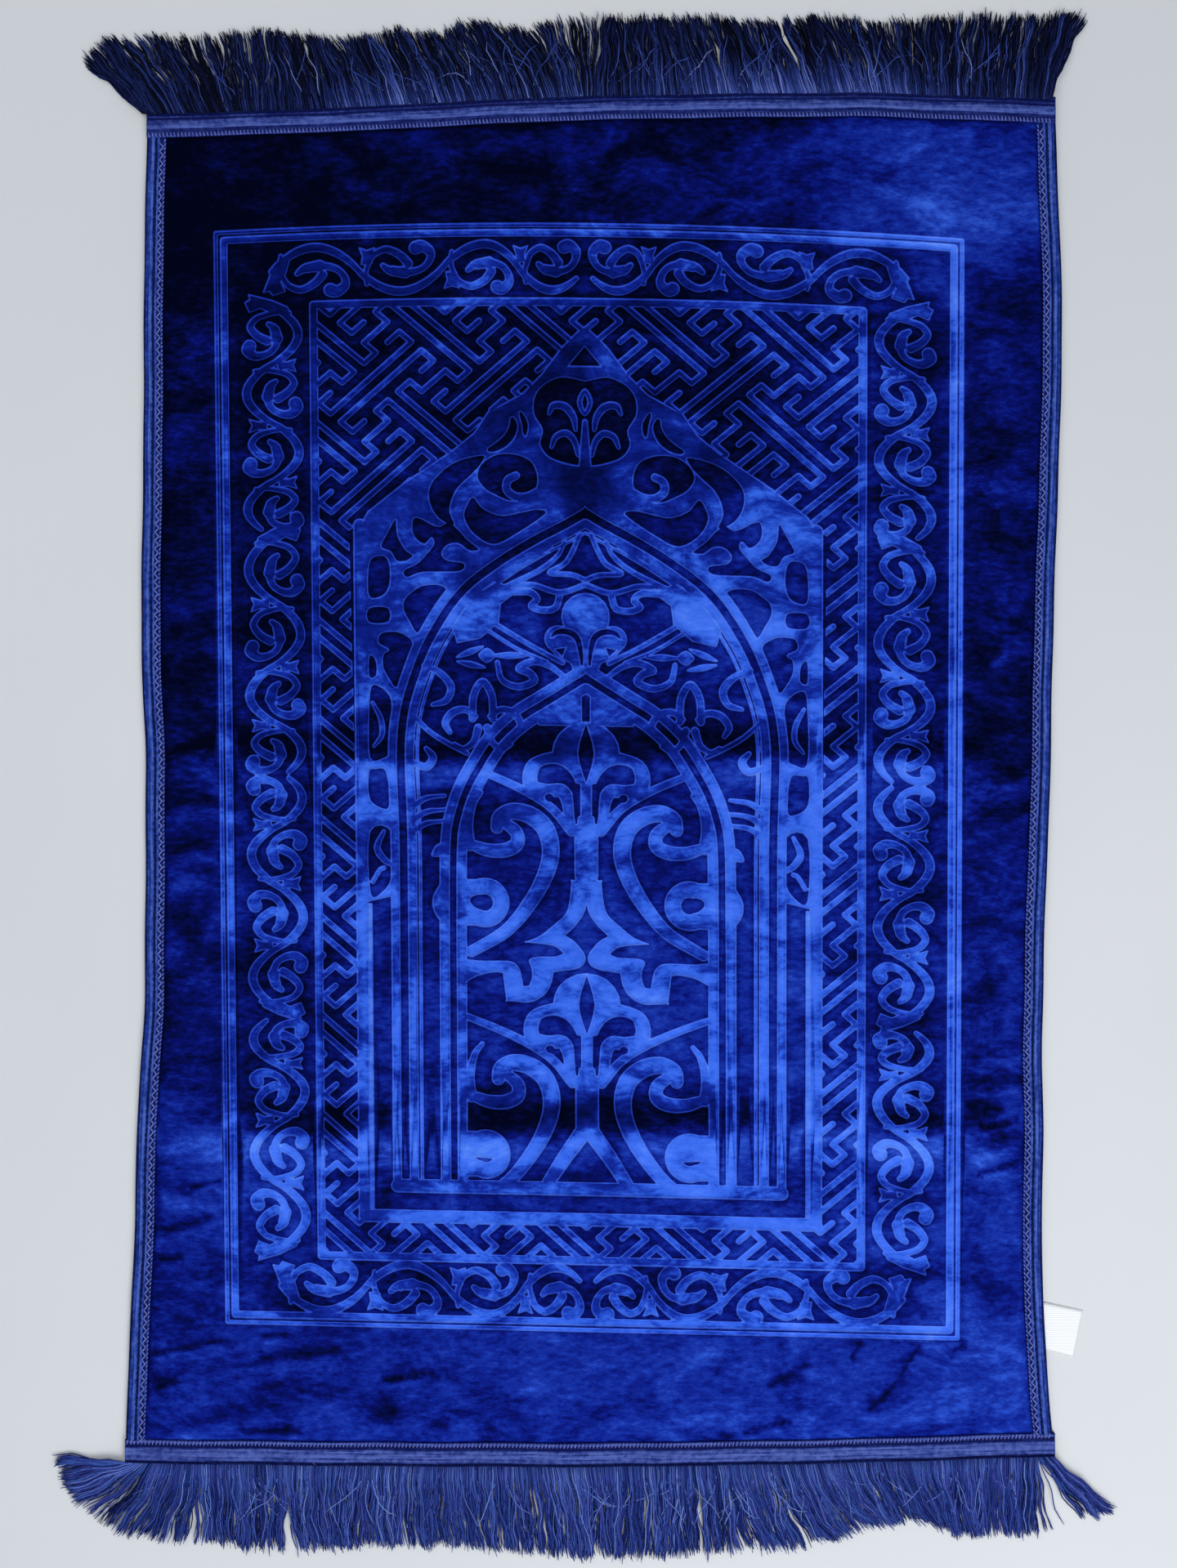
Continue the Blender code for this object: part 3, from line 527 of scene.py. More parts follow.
def press_tracery(press):
    """Openwork between the two arches: leaves, hooks, fleurs and a trefoil over the inner point."""
    draw = press.draw
    draw(((-96, 160), (-77, 171), (-59, 163), (-74, 152), (-76, 136), (-92, 122), (-112, 118), (-116, 132)))
    draw(((-70, 166), (-40, 181), (-24, 194), (-18, 206)), taper(2.2, 1.2), 8)
    draw(((-78, 172), (-50, 188), (-30, 202)), 1.4, 8)
    draw(((-5, 212), (-11, 198), (-18, 187), (-31, 179), (-12, 177.5), (0, 173)), 1.8, 8)
    draw(((-58, 168), (-44, 168), (-22, 162), (0, 169)), 2.0, 8)
    draw(((-62, 162), (-48, 162), (-42, 156), (-47, 150), (-37, 146.5), (-26, 149), (-22, 161)), 2.5, 8)
    draw(oval(0, 141.4, 20.5, 20), both=False)
    draw(oval(-61.7, 169, 3, 3))
    draw(oval(-23.8, 122, 11.5, 11))
    draw(((-34.5, 118), (-26, 108), (-13, 101), (-10, 94), (0, 94), (0, 128), (-22, 130)))
    draw(((-3, 96), (-4.5, 112), (-8, 123.5), (-16, 128), (-25, 127.5), (-30, 123)), swell(0.9, 3.2, 0.6),
        6, raised=True)
    draw(((-16.5, 115), (-28, 113), (-20, 106)), raised=True)
    draw(((-78, 134), (-48, 116), (-20, 101)), 1.7, 8)
    draw(((-84, 128), (-60, 113), (-34, 102)), 1.2, 8)
    for x, y, rx, ry, tilt in ((-86, 107, 7, 6, 0), (-66, 107, 15, 2.6, 0), (-101, 110, 13, 2.4, 22),
            (-100, 99, 13, 2.4, -12)):
        draw(oval(x, y, rx, ry, tilt, 0.5))
    draw(((-77, 101), (-73, 86), (-59, 80), (-45, 85), (-49, 92), (-58, 96), (-45, 102), (-31, 98),
        (-16, 87)), swell(1.6, 3.0), 8)
    fleur(press, -90, 64)
    draw(((-142, 98), (-128, 92), (-118, 80), (-122, 68), (-134, 64)), swell(1.4, 3.0), 8)
    draw(((-149, 52), (-136, 40), (-120, 30), (-104, 22)), 1.8, 8)
    draw(((-152, 14), (-140, 10), (-134, 18), (-140, 26)), swell(1.6, 3.2), 8)
    for y in (-24, -36, -46):
        draw(((-152, y), (-140, y + 7), (-124, y + 9)), taper(2.6, 1.2), 8)
    draw(oval(-128, -62, 9, 5, 35, 0.4))
    draw(((-127, -122), (-134, -114), (-134, -102), (-126, -92)), smooth=6)


def fleur(press, x, y):
    """Small upright flower of four petals between the arches."""
    press.draw([(x + a, y + b) for a, b in through(((-9, -12), (-8, 8), (0, 20), (8, 8), (9, -12)), 6)],
        2.9)
    for s in (-1, 1):
        for points, half in ((((6, -10), (16, -4), (27, -7), (33, -16), (29, -24)), swell(1.6, 3.0)),
                (((4, -20), (8, -32), (17, -38), (25, -34)), taper(3.2, 1.4))):
            press.draw([(x + s * a, y + b) for a, b in through(points, 6)], half)


# Raised cells of the openwork beside the outer arch, each a short outline
CELLS = (
    ((-142, 168), (-128, 168.5), (-121, 164), (-128, 152), (-145, 126), (-154, 136), (-159.5, 147),
    (-158.5, 156), (-151, 163)),
    ((-187, 192), (-176, 194), (-171, 186), (-171, 169), (-177, 159), (-189.5, 158), (-190.5, 180)),
    ((-190, 148.5), (-172.5, 148.5), (-172.5, 136), (-190, 136)),
    ((-180.5, 125.5), (-173, 128), (-162, 127), (-151, 118.5), (-156, 102), (-165, 79), (-173, 87),
    (-178, 97.5), (-177.5, 108), (-172.5, 112), (-181.5, 117.5)),
    ((-190, 107), (-184, 104), (-183, 90), (-190, 88)),
    ((-187, 82), (-171.5, 72), (-170, 52), (-171, 24), (-178, 17), (-190, 18), (-190.5, 60)),
    ((-191, 6), (-185, 8.5), (-175, 6), (-172.5, -24), (-181, -26), (-191, -17)),
    ((-190.5, -46), (-171, -46), (-171, -84), (-178, -98), (-190.5, -101)))
# The crescent, the ground it runs out into, and the leaf-shaped field below the volute
CRESCENT = (
    (-88, 281), (-113, 275), (-130, 262), (-136.5, 250), (-135, 237), (-128.5, 226.5), (-119, 220.5),
    (-113.5, 221), (-117.5, 231), (-116, 242), (-110, 253), (-98, 264), (-90, 273))
HOLLOW = (
    (-119, 223), (-127, 219), (-135, 221.5), (-143, 226), (-150, 226.5), (-151.5, 216), (-147.5, 207.5),
    (-140, 203.5), (-134, 209), (-132.5, 203), (-140, 194), (-147, 187), (-159, 181), (-156, 174.5),
    (-142, 179), (-110, 179.5), (-105.5, 187), (-121, 190), (-125, 196.5), (-119, 203), (-110, 203.5),
    (-101, 197.5), (-92, 199), (-103, 208), (-111, 217))
BEHIND_HOOK = (
    (-165.5, 226), (-163.5, 211), (-156.5, 198.5), (-150, 194), (-156, 189), (-165, 189), (-170, 197),
    (-179, 201.5), (-173, 214))
UNDER_VOLUTE = (
    (-104, 236), (-105.5, 226), (-97.5, 212.5), (-80, 203), (-60, 212), (-34, 230), (-42, 234),
    (-57.5, 231), (-73, 228.5), (-88.5, 234.5), (-97.5, 244.5))


def press_surround(press):
    """Pressed ground round the outer arch with raised cells, volutes and the palmette over the point."""
    arch = sideways(through(OUTER_ARCH), -7.0)
    rim = [q for q in arch if q[1] > -108]
    outline = ([(-SIDE_BAND, -108), (-SIDE_BAND, 218)] + mirror(SPANDREL)[1:] + [(0, 392), (1.5, 392),
        (1.5, rim[-1][1]), (0, rim[-1][1])] + rim[::-1])
    draw = press.draw
    draw(outline)
    for cell in CELLS:
        draw(cell, smooth=4, raised=True)
    for shape in (CRESCENT, HOLLOW, BEHIND_HOOK, UNDER_VOLUTE):
        draw(shape, smooth=4, raised=True)
    draw(((-187, 66), (-180, 52), (-179, 38), (-186, 28)), swell(1.0, 2.0), 5)
    draw(((-178, -46), (-184, -60), (-178.5, -70), (-170, -76)), swell(1.2, 2.6), 5)
    draw(((-178, -78), (-182, -80), (-188, -90)), 1.5, 5)
    # volutes: a large one low beside the point, a small one above it
    draw(((-94, 262), (-90, 273), (-78, 281), (-62, 282), (-47, 276), (-41, 263), (-43, 250), (-53, 242),
        (-66, 241), (-78, 246), (-88, 252)), smooth=5, raised=True)
    draw(((-40, 250), (-50, 245), (-61, 245), (-68, 251), (-67, 259), (-60, 263)), swell(3.0, 3.2, 0.3), 6)
    draw(((-90, 250), (-85, 239.5), (-73, 232.5), (-57.5, 235), (-38, 240), (-29, 249), (-31, 262)), 2.2, 6)
    draw(((-84, 285), (-76, 288), (-67, 295), (-62, 305), (-63, 313)), swell(1.2, 4.6, 0.5), 6, raised=True)
    draw(((-52, 298), (-52, 308), (-56, 318)), swell(1.2, 3.0, 0.5), 5, raised=True)
    # palmette: three leaves over a flared foot, and the point of the field above it
    dome = through(((2, 345), (-18, 349), (-33, 344), (-43, 333), (-44.5, 317), (-37, 303), (-39, 290),
        (-31, 279), (-14, 273), (2, 271)), 6)
    draw(dome, raised=True)
    draw(((0, 376), (15, 358), (-15, 358)), raised=True, both=False)
    draw(oval(0, 327, 11.5, 6.4, 90, 0.35), both=False)
    draw(oval(0, 327, 7.2, 2.6, 90, 0.4), raised=True, both=False)
    draw(((-31, 317), (-27, 324), (-17, 323), (-10, 314), (-8, 303)), swell(1.2, 3.0), 6)
    draw(((-29, 288), (-25, 297), (-16, 300), (-9, 293), (-6, 281)), swell(1.2, 2.6), 6)
    draw([(0, 310), (0, 272)], lambda t: 2.0 + 3.0 * t, both=False)


def pressed_pattern(step):
    """The whole pattern on a grid; later parts cover earlier ones."""
    press = Press(step)
    press_fret(press)
    press_surround(press)
    press_tracery(press)
    press_niche(press)
    press_arches(press)
    press_borders(press)
    return press


def lay(x, y):
    """Place a point of the straight pattern as the cloth lies on the floor; works on arrays."""
    u, v = x / RUG_HALF, y / 476.0
    up, down = (1 + v) / 2, (1 - v) / 2
    near = np.maximum(0.0, 1 - u * u)
    return (x * (1.0 + 0.017 * up - 0.006 * down) - 2.6 * up + 0.6 * down - 4.0 * near * near,
        y + up * (-2.4 - 3.4 * u + 10.4 * near) - 7.3 * u * down)


# ---------------------------------------------------------------- the plush cloth

def contours(press, level):
    """Closed loops where the pattern's distance passes a level, pressed side on the left."""
    inside = press.d < level
    cols = inside.shape[1]
    count = inside.size
    mixed = ((inside[:-1, :-1] != inside[:-1, 1:]) | (inside[:-1, :-1] != inside[1:, :-1])
        | (inside[1:, 1:] != inside[:-1, 1:]) | (inside[1:, 1:] != inside[1:, :-1]))
    ends = {}
    for j, i in zip(*(q.tolist() for q in np.nonzero(mixed))):
        corner = (inside[j, i], inside[j, i + 1], inside[j + 1, i + 1], inside[j + 1, i])
        sides = (j * cols + i, count + j * cols + i + 1, (j + 1) * cols + i, count + j * cols + i)
        leave = [sides[k] for k in range(4) if corner[k] and not corner[(k + 1) % 4]]
        enter = [sides[k] for k in range(4) if not corner[k] and corner[(k + 1) % 4]]
        if len(leave) == 2 and sides.index(enter[0]) < sides.index(leave[0]):
            leave.reverse()
        ends.update(zip(leave, enter))
    loops = []
    while ends:
        start, here = ends.popitem()
        ring = [start]
        while here != start:
            ring.append(here)
            here = ends.pop(here)
        loops.append(crossings(press, np.array(ring), level, cols, count))
    return loops


def crossings(press, sides, level, cols, count):
    """Points where the level is passed on the given sides of grid cells."""
    upright = sides >= count
    j, i = np.divmod(np.where(upright, sides - count, sides), cols)
    a = press.d[j, i]
    b = np.where(upright, press.d[np.minimum(j + 1, len(press.y) - 1), i],
        press.d[j, np.minimum(i + 1, cols - 1)])
    t = np.clip((level - a) / (b - a), 0.03, 0.97) * press.step
    return np.stack([press.x[i] + np.where(upright, 0, t), press.y[j] + np.where(upright, t, 0)], 1)


def simplify(p, tol):
    """Fewest points of a closed loop that keep it within tol."""
    far = int(np.argmax(np.hypot(*(p - p[0]).T)))
    p = np.vstack([p, p[:1]])
    keep = {0, far, len(p) - 1}
    spans = [(0, far), (far, len(p) - 1)]
    while spans:
        a, b = spans.pop()
        if b - a < 2:
            continue
        chord = p[b] - p[a]
        rel = p[a + 1:b] - p[a]
        off = np.abs(chord[0] * rel[:, 1] - chord[1] * rel[:, 0]) / (np.hypot(*chord) + 1e-9)
        k = int(np.argmax(off))
        if off[k] > tol:
            keep.add(a + 1 + k)
            spans += [(a, a + 1 + k), (a + 1 + k, b)]
    return p[sorted(keep)[:-1]]


def lift(x, y):
    """Height of the creases and wrinkles over the flat cloth; works on arrays."""
    edge = np.clip((372 - np.abs(x)) / 50, 0, 1)
    z = 0.0 * x
    for c, h, w in CREASES:
        z = z + edge * h * np.exp(-((y - c - 3 * np.sin(x / 90)) / w) ** 2)
    for cx, cy, turn, long, wide, high in WRINKLES:
        ca, sa = math.cos(math.radians(turn)), math.sin(math.radians(turn))
        u, v = (x - cx) * ca + (y - cy) * sa, (y - cy) * ca - (x - cx) * sa
        z = z + high * np.exp(-(u / long) ** 2 - (v / wide) ** 2)
    ease = 0.25 * np.sin(x / 31 + 1.3 * np.sin(y / 53)) * np.sin(y / 41 + 0.9 * np.sin(x / 67))
    return z + ease * np.clip((380 - np.abs(x)) / 30, 0, 1) * np.clip((570 - np.abs(y)) / 30, 0, 1)


def painted_furrow(x, y, points, wide):
    """How near places lie to a painted line, 0 to 1, for its painted shade, and how near they lie to a line
    parallel to it towards the foot, for its painted highlight.
    """
    deep, beside = 0.0 * x, 0.0 * x
    for a, b in zip(points, points[1:]):
        dist, t = from_segment(x, y, a, b)
        deep = np.maximum(deep, np.exp(-(dist / wide) ** 2))
        dist = np.hypot(x - a[0] - t * (b[0] - a[0]), y + 1.9 * wide - a[1] - t * (b[1] - a[1]))
        beside = np.maximum(beside, np.exp(-(dist / wide) ** 2))
    return deep, beside


def painted_nap_light(x, y):
    """Painted light and shade on the nap: lighter on the side of the creases towards the foot and darker on
    the side towards the arch, in broad painted patches, along the frame and at the furrows.
    """
    lean = 1.3 * (lift(x, y + 1) - lift(x, y - 1))
    for cx, cy, rx, ry, amount in PAINTED_NAP_PATCHES:
        lean = lean + amount * np.exp(-((x - cx) / rx) ** 2 - ((y - cy) / ry) ** 2)
    # painted highlight along the frame lines, stronger towards the arch's end, where the pile round them is
    # painted dark
    u, v = unlay(x, y)
    inset = np.minimum(np.minimum(RUG_HALF - np.abs(u), PATTERN_TOP - v), v - PATTERN_FOOT)
    lean = lean + 0.2 * np.exp(-((inset - 6) / 6) ** 2) * np.clip((v + 300) / 600, 0, 1)
    # painted shade along the line of each of the furrows, and a painted highlight just towards the foot of
    # it
    for points, wide in PAINTED_FURROWS:
        deep, beside = painted_furrow(x, y, points, wide)
        lean = lean - 0.3 * deep + 0.14 * beside
    return np.clip(lean, -0.6, 0.6)


def body_ring(side_in, end_in, pitch=14):
    """Closed ring of points a set distance inside the rug's outer edges."""
    def corner(side, end, sign, up):
        x = float(edge_at(side, CORNER_Y * up)) + sign * side_in
        return x, float(edge_at(end, x)) - up * end_in
    (ax, ay), (bx, by) = corner(LEFT_EDGE, BOTTOM_EDGE, 1, -1), corner(RIGHT_EDGE, BOTTOM_EDGE, -1, -1)
    (dx, dy), (cx, cy) = corner(LEFT_EDGE, TOP_EDGE, 1, 1), corner(RIGHT_EDGE, TOP_EDGE, -1, 1)

    def run(a, b):
        return np.linspace(a, b, max(2, int(abs(b - a) / pitch)), endpoint=False)
    low, right, top, left = run(ax, bx), run(by, cy), run(cx, dx), run(dy, ay)
    parts = ((low, edge_at(BOTTOM_EDGE, low) + end_in), (edge_at(RIGHT_EDGE, right) - side_in, right),
        (top, edge_at(TOP_EDGE, top) - end_in), (edge_at(LEFT_EDGE, left) + side_in, left))
    return np.concatenate([np.stack(q, 1) for q in parts])


def triangles(loops, loose):
    """Triangles inside the first loop with edges along every loop; points carry (x, y, z, pile)."""
    points = np.concatenate(loops + [loose])
    edges, n = [], 0
    for loop in loops:
        ids = n + np.arange(len(loop))
        edges += np.stack([ids, np.roll(ids, -1)], 1).tolist()
        n += len(loop)
    flat = [Vector(q) for q in points[:, :2].tolist()]
    verts, _, faces, source, _, _ = delaunay_2d_cdt(flat, edges, [], 0, 1e-4, True)
    rim, used = {}, np.zeros((len(verts), 4))
    for k, ids in enumerate(source):
        if ids:
            used[k] = points[ids[0]]
        else:
            near = int(np.argmin(np.hypot(points[:, 0] - verts[k].x, points[:, 1] - verts[k].y)))
            used[k] = (verts[k].x, verts[k].y, points[near, 2], points[near, 3])
        for old in ids:
            if old < len(loops[0]):
                rim[old] = k
    faces = np.array(faces)
    middle = used[faces, :2].mean(axis=1)
    inside = outline_distance(middle[:, 0], middle[:, 1], loops[0][:, :2].tolist()) < 0
    return used, faces[inside], [rim[k] for k in range(len(loops[0]))]


def ring_at(ring, z, pile):
    """Points of a ring at a height over the creased floor, with their share of pile."""
    return np.column_stack([ring, z + lift(ring[:, 0], ring[:, 1]), np.full(len(ring), pile)])


def jittered(x0, x1, y0, y1, pitch):
    """Grid of points shaken out of line, so no rows show in the surface."""
    x, y = np.meshgrid(np.arange(x0, x1, pitch), np.arange(y0, y1, pitch * 0.9))
    return np.stack([(x + 0.3 * pitch * np.sin(y * 12.9 + x * 3.1)).ravel(),
        (y + 0.3 * pitch * np.sin(x * 7.7 + y * 5.3)).ravel()], 1)


def plush_cloth(materials):
    """The pile cloth with its pressed pattern, its plain back and a thin edge inside the tapes."""
    press = pressed_pattern(GRID)
    seam_side, seam_end = SIDE_TAPE_WIDTH + SEAM_MARGIN, END_TAPE_WIDTH + SEAM_MARGIN
    rim = body_ring(RIM_INSET, RIM_INSET)
    rings = [(rim, HEM_HIGH, 1.0), (body_ring(seam_side, seam_end), HEM_HIGH, 1.0),
        (body_ring(seam_side + PILE_SLOPE, seam_end + PILE_SLOPE), PILE_TOP, 1.2)]
    loops = [ring_at(ring, z, pile) for ring, z, pile in rings]
    for level, share in PILE_EDGES:
        for loop in contours(press, level):
            thin = simplify(np.stack(lay(loop[:, 0], loop[:, 1]), 1), STRAIGHTEN)
            if len(thin) > 2:
                loops.append(ring_at(thin, PILE_TOP - PRESS_DEPTH * (1 - share), share))
    # points along the painted furrows, so that their painted shade and highlight have points of the mesh to
    # lie on
    strips = [(x + 1.25 * wide * side, y + 1.25 * wide * side * 0.9) for points, wide in PAINTED_FURROWS
        for x, y in through(points, 6) for side in (-2, -1, 0, 1, 2)]
    loose = np.concatenate([jittered(-368, 372, -562, 572, SPREAD), np.array(strips)])
    gap = press_at(press, loose[:, 0], loose[:, 1])
    clear = outline_distance(loose[:, 0], loose[:, 1], rings[2][0].tolist()) < -3
    keep = clear & ((gap > 2.2) | (gap < -1.6))
    loose, gap = loose[keep], gap[keep]
    # away from every edge the pile counts as open (past 1) and the pressed floor as deep (below 0); from
    # these the plush material lays painted shade on the standing pile near the edges and a little painted
    # light on the floor away from them
    pile = np.where(gap > 0, 1.3, -0.3)
    z = PILE_TOP - PRESS_DEPTH * (gap < 0) + lift(loose[:, 0], loose[:, 1])
    top, top_faces, top_rim = triangles(loops, np.column_stack([loose, z, pile]))
    dots = jittered(-350, 350, -540, 540, 60)
    *under, inner = (np.column_stack([ring, np.full(len(ring), z), np.ones(len(ring))])
        for ring, z in ((rim, HEM_LOW), (rings[1][0], HEM_LOW), (rings[2][0], 0.0), (dots, 0.0)))
    foot, foot_faces, foot_rim = triangles(under, inner)
    n, r = len(top), len(top_rim)
    faces = top_faces.tolist() + (n + foot_faces[:, ::-1]).tolist()
    for k in range(r):
        a, b, c, d = top_rim[k], top_rim[(k + 1) % r], n + foot_rim[k], n + foot_rim[(k + 1) % r]
        faces += [(a, c, d), (a, d, b)]
    verts = np.concatenate([top, foot])
    marks = {"pile": verts[:, 3], "painted_nap_light": painted_nap_light(verts[:, 0], verts[:, 1])}
    cloth = piece("plush_cloth", verts[:, :3], faces, materials, marks=marks)
    back = np.zeros(len(faces), np.int32)
    back[len(top_faces):] = 1
    cloth.data.polygons.foreach_set("material_index", back)
    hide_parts("rug_ground")
    return cloth


def unlay(x, y):
    """Place in the straight pattern of a point of the cloth as it lies."""
    u, v = np.array(x, float), np.array(y, float)
    for _ in range(3):
        a, b = lay(u, v)
        u, v = u + x - a, v + y - b
    return u, v


def press_at(press, x, y):
    """Pattern distance at places on the floor."""
    u, v = unlay(x, y)
    i = np.clip(((u - press.x[0]) / press.step).astype(int), 0, len(press.x) - 1)
    j = np.clip(((v - press.y[0]) / press.step).astype(int), 0, len(press.y) - 1)
    outside = (np.abs(u) > RUG_HALF + FAR) | (v > PATTERN_TOP + FAR) | (v < PATTERN_FOOT - FAR)
    return np.where(outside, FAR, press.d[j, i])


# ---------------------------------------------------------------- tapes, bindings and stitches

def tape(name, table, start, end, pitch, inward, upright, section, materials):
    """Folded tape: a section of (depth, height, tone) swept along an edge of the rug."""
    t = np.linspace(start, end, int(abs(end - start) / pitch) + 1)
    depth, height, tone = (np.array([q[k] for q in section]) for k in (0, 1, 2))
    n, rings = len(section), len(t)
    waver = 0.12 * np.sin(t / 7.3)[:, None] * (height[None, :] > 3)
    cross = edge_at(table, t)[:, None] + inward * depth[None, :]
    run = np.repeat(t[:, None], n, 1)
    x, y = (cross, run) if upright else (run, cross)
    verts = np.stack([x, y, height[None, :] + waver + 0 * x], 2).reshape(-1, 3)
    k, i = np.meshgrid(np.arange(rings - 1), np.arange(n), indexing="ij")
    a, b = (k * n + i).ravel(), (k * n + (i + 1) % n).ravel()
    faces = np.stack([a, b, b + n, a + n], 1).tolist()
    faces += [list(range(n)), list(range((rings - 1) * n, rings * n))[::-1]]
    if (inward > 0) == upright:
        faces = [face[::-1] for face in faces]
    marks = {"tone": np.tile(tone, rings), "run": np.repeat(t, n), "depth": np.tile(depth, rings)}
    return piece(name, verts, faces, materials, marks=marks)


def fold(outside, ply=1.0):
    """Closed section of a tape folded over an edge, from its outside line."""
    p = np.array([q[:2] for q in outside], float)
    t = np.gradient(p, axis=0)
    t /= np.hypot(t[:, 0], t[:, 1])[:, None] + 1e-9
    inner = p + ply * np.stack([t[:, 1], -t[:, 0]], 1) * 0.9
    inner[:, 1] = np.clip(inner[:, 1], 0.9, None)
    back = [(float(u), float(v), 0.0) for u, v in inner[::-1]]
    return [tuple(q) for q in outside] + back


# Sections of the tapes: (depth in from the outer edge, height, tone). The tone is mostly painted light and
# shade: darkest in the grooves and, on the side bindings, down the folded outer edge; lightest on the high
# crowns
SIDE_OUTSIDE = (
    (17.2, 0.0, 0.2), (8.0, 0.0, 0.2), (1.6, 0.0, 0.2), (0.4, 0.8, 0.1), (0.0, 2.6, 0.0), (0.5, 4.2, 0.0),
    (1.7, 4.9, 0.05), (2.5, 5.2, 0.45), (3.6, 5.3, 0.6), (4.3, 5.1, 0.4), (5.0, 5.3, 0.8), (6.4, 5.4, 0.9),
    (7.5, 5.2, 0.7), (8.2, 4.7, 0.1), (9.3, 4.6, 0.05), (9.9, 5.1, 0.7), (11.0, 5.3, 0.9), (11.8, 5.0, 0.4),
    (12.5, 4.8, 0.1), (14.4, 4.8, 0.1), (15.4, 5.2, 0.45), (16.6, 5.1, 0.3), (17.4, 4.2, 0.1))
TOP_OUTSIDE = (
    (23.5, 0.0, 0.2), (12.0, 0.0, 0.2), (1.4, 0.0, 0.2), (0.4, 0.7, 0.2), (0.0, 1.6, 0.3), (0.0, 3.6, 0.4),
    (0.5, 4.7, 0.4), (1.4, 5.1, 0.5), (3.0, 5.0, 0.5), (3.7, 4.5, 0.0), (4.8, 4.4, 0.0), (5.4, 4.9, 0.5),
    (6.2, 4.9, 0.45), (6.8, 4.4, 0.0), (7.8, 4.4, 0.0), (8.5, 4.9, 0.5), (10.0, 5.2, 0.7),
    (12.0, 5.3, 0.75), (14.0, 5.4, 0.95), (15.6, 5.4, 1.0), (16.4, 5.0, 0.3), (17.2, 4.8, 0.2),
    (18.4, 5.1, 0.35), (20.4, 5.2, 0.3), (21.2, 5.0, 0.2), (22.0, 5.3, 0.6), (22.9, 5.2, 0.6),
    (23.4, 4.7, 0.2), (23.6, 4.2, 0.1))
FOOT_OUTSIDE = (
    (23.5, 0.0, 0.2), (12.0, 0.0, 0.2), (1.4, 0.0, 0.2), (0.4, 0.7, 0.2), (0.0, 1.6, 0.2), (0.0, 3.4, 0.3),
    (0.5, 4.5, 0.4), (1.4, 5.0, 0.5), (3.2, 5.0, 0.4), (4.0, 4.5, 0.0), (4.9, 4.6, 0.1), (5.6, 5.0, 0.7),
    (7.2, 5.3, 0.85), (8.6, 5.1, 0.65), (10.2, 5.3, 0.95), (12.0, 5.3, 0.9), (13.4, 5.2, 0.7),
    (15.0, 5.3, 0.9), (16.4, 5.0, 0.6), (17.1, 4.4, 0.0), (18.6, 4.1, 0.0), (19.8, 4.2, 0.0),
    (20.5, 4.9, 0.5), (21.4, 5.3, 0.9), (22.4, 5.2, 0.8), (23.1, 4.7, 0.3), (23.6, 4.2, 0.1))


def threads(name, paths, radius, material, sides=5, tone=None):
    """Thread along many short paths of equal length: an array of (thread, point, xyz)."""
    paths = np.asarray(paths, float)
    count, steps = paths.shape[:2]
    along = np.gradient(paths, axis=1)
    along /= np.linalg.norm(along, axis=2)[:, :, None] + 1e-9
    side = np.cross(along, [0.0, 0.0, 1.0])
    side /= np.linalg.norm(side, axis=2)[:, :, None] + 1e-9
    up = np.cross(side, along)
    radius = np.broadcast_to(np.asarray(radius, float), (count, steps))
    rings = []
    for k in range(sides):
        a = 2 * math.pi * k / sides
        rings.append(paths + radius[:, :, None] * (math.cos(a) * side + math.sin(a) * up))
    verts = np.stack(rings, 2).reshape(-1, 3)
    c, s, k = np.meshgrid(np.arange(count), np.arange(steps - 1), np.arange(sides), indexing="ij")
    base = (c * steps + s) * sides
    a, b = (base + k).ravel(), (base + (k + 1) % sides).ravel()
    faces = np.stack([a, b, b + sides, a + sides], 1).tolist()
    first = (np.arange(count) * steps * sides)[:, None] + np.arange(sides)[None, ::-1]
    last = first[:, ::-1] + (steps - 1) * sides
    faces += first.tolist() + last.tolist()
    marks = {}
    if tone is not None:
        marks = {key: np.repeat(np.broadcast_to(value, (count, steps)).ravel(), sides)
            for key, value in tone.items()}
    return piece(name, verts, faces, [material], marks=marks)


def stitch_row(table, start, end, pitch, inward, upright, shape):
    """Stitches of one shape, (step along, depth, height) points, repeated along an edge."""
    count = int(abs(end - start) / pitch)
    t = np.linspace(start, end, count, endpoint=False)
    shape = np.array(shape, float)
    run = t[:, None] + shape[None, :, 0]
    cross = edge_at(table, run) + inward * shape[None, :, 1]
    high = np.broadcast_to(shape[None, :, 2], run.shape)
    x, y = (cross, run) if upright else (run, cross)
    return np.stack([x, y, high], 2)


def arc(length, depth, height, rise=0.7, slant=0.0, steps=5):
    """Short stitch that rises out of the cloth and dips back."""
    return [(length * (k / (steps - 1) - 0.5), depth + slant * (k / (steps - 1) - 0.5),
        height + rise * math.sin(math.pi * k / (steps - 1))) for k in range(steps)]


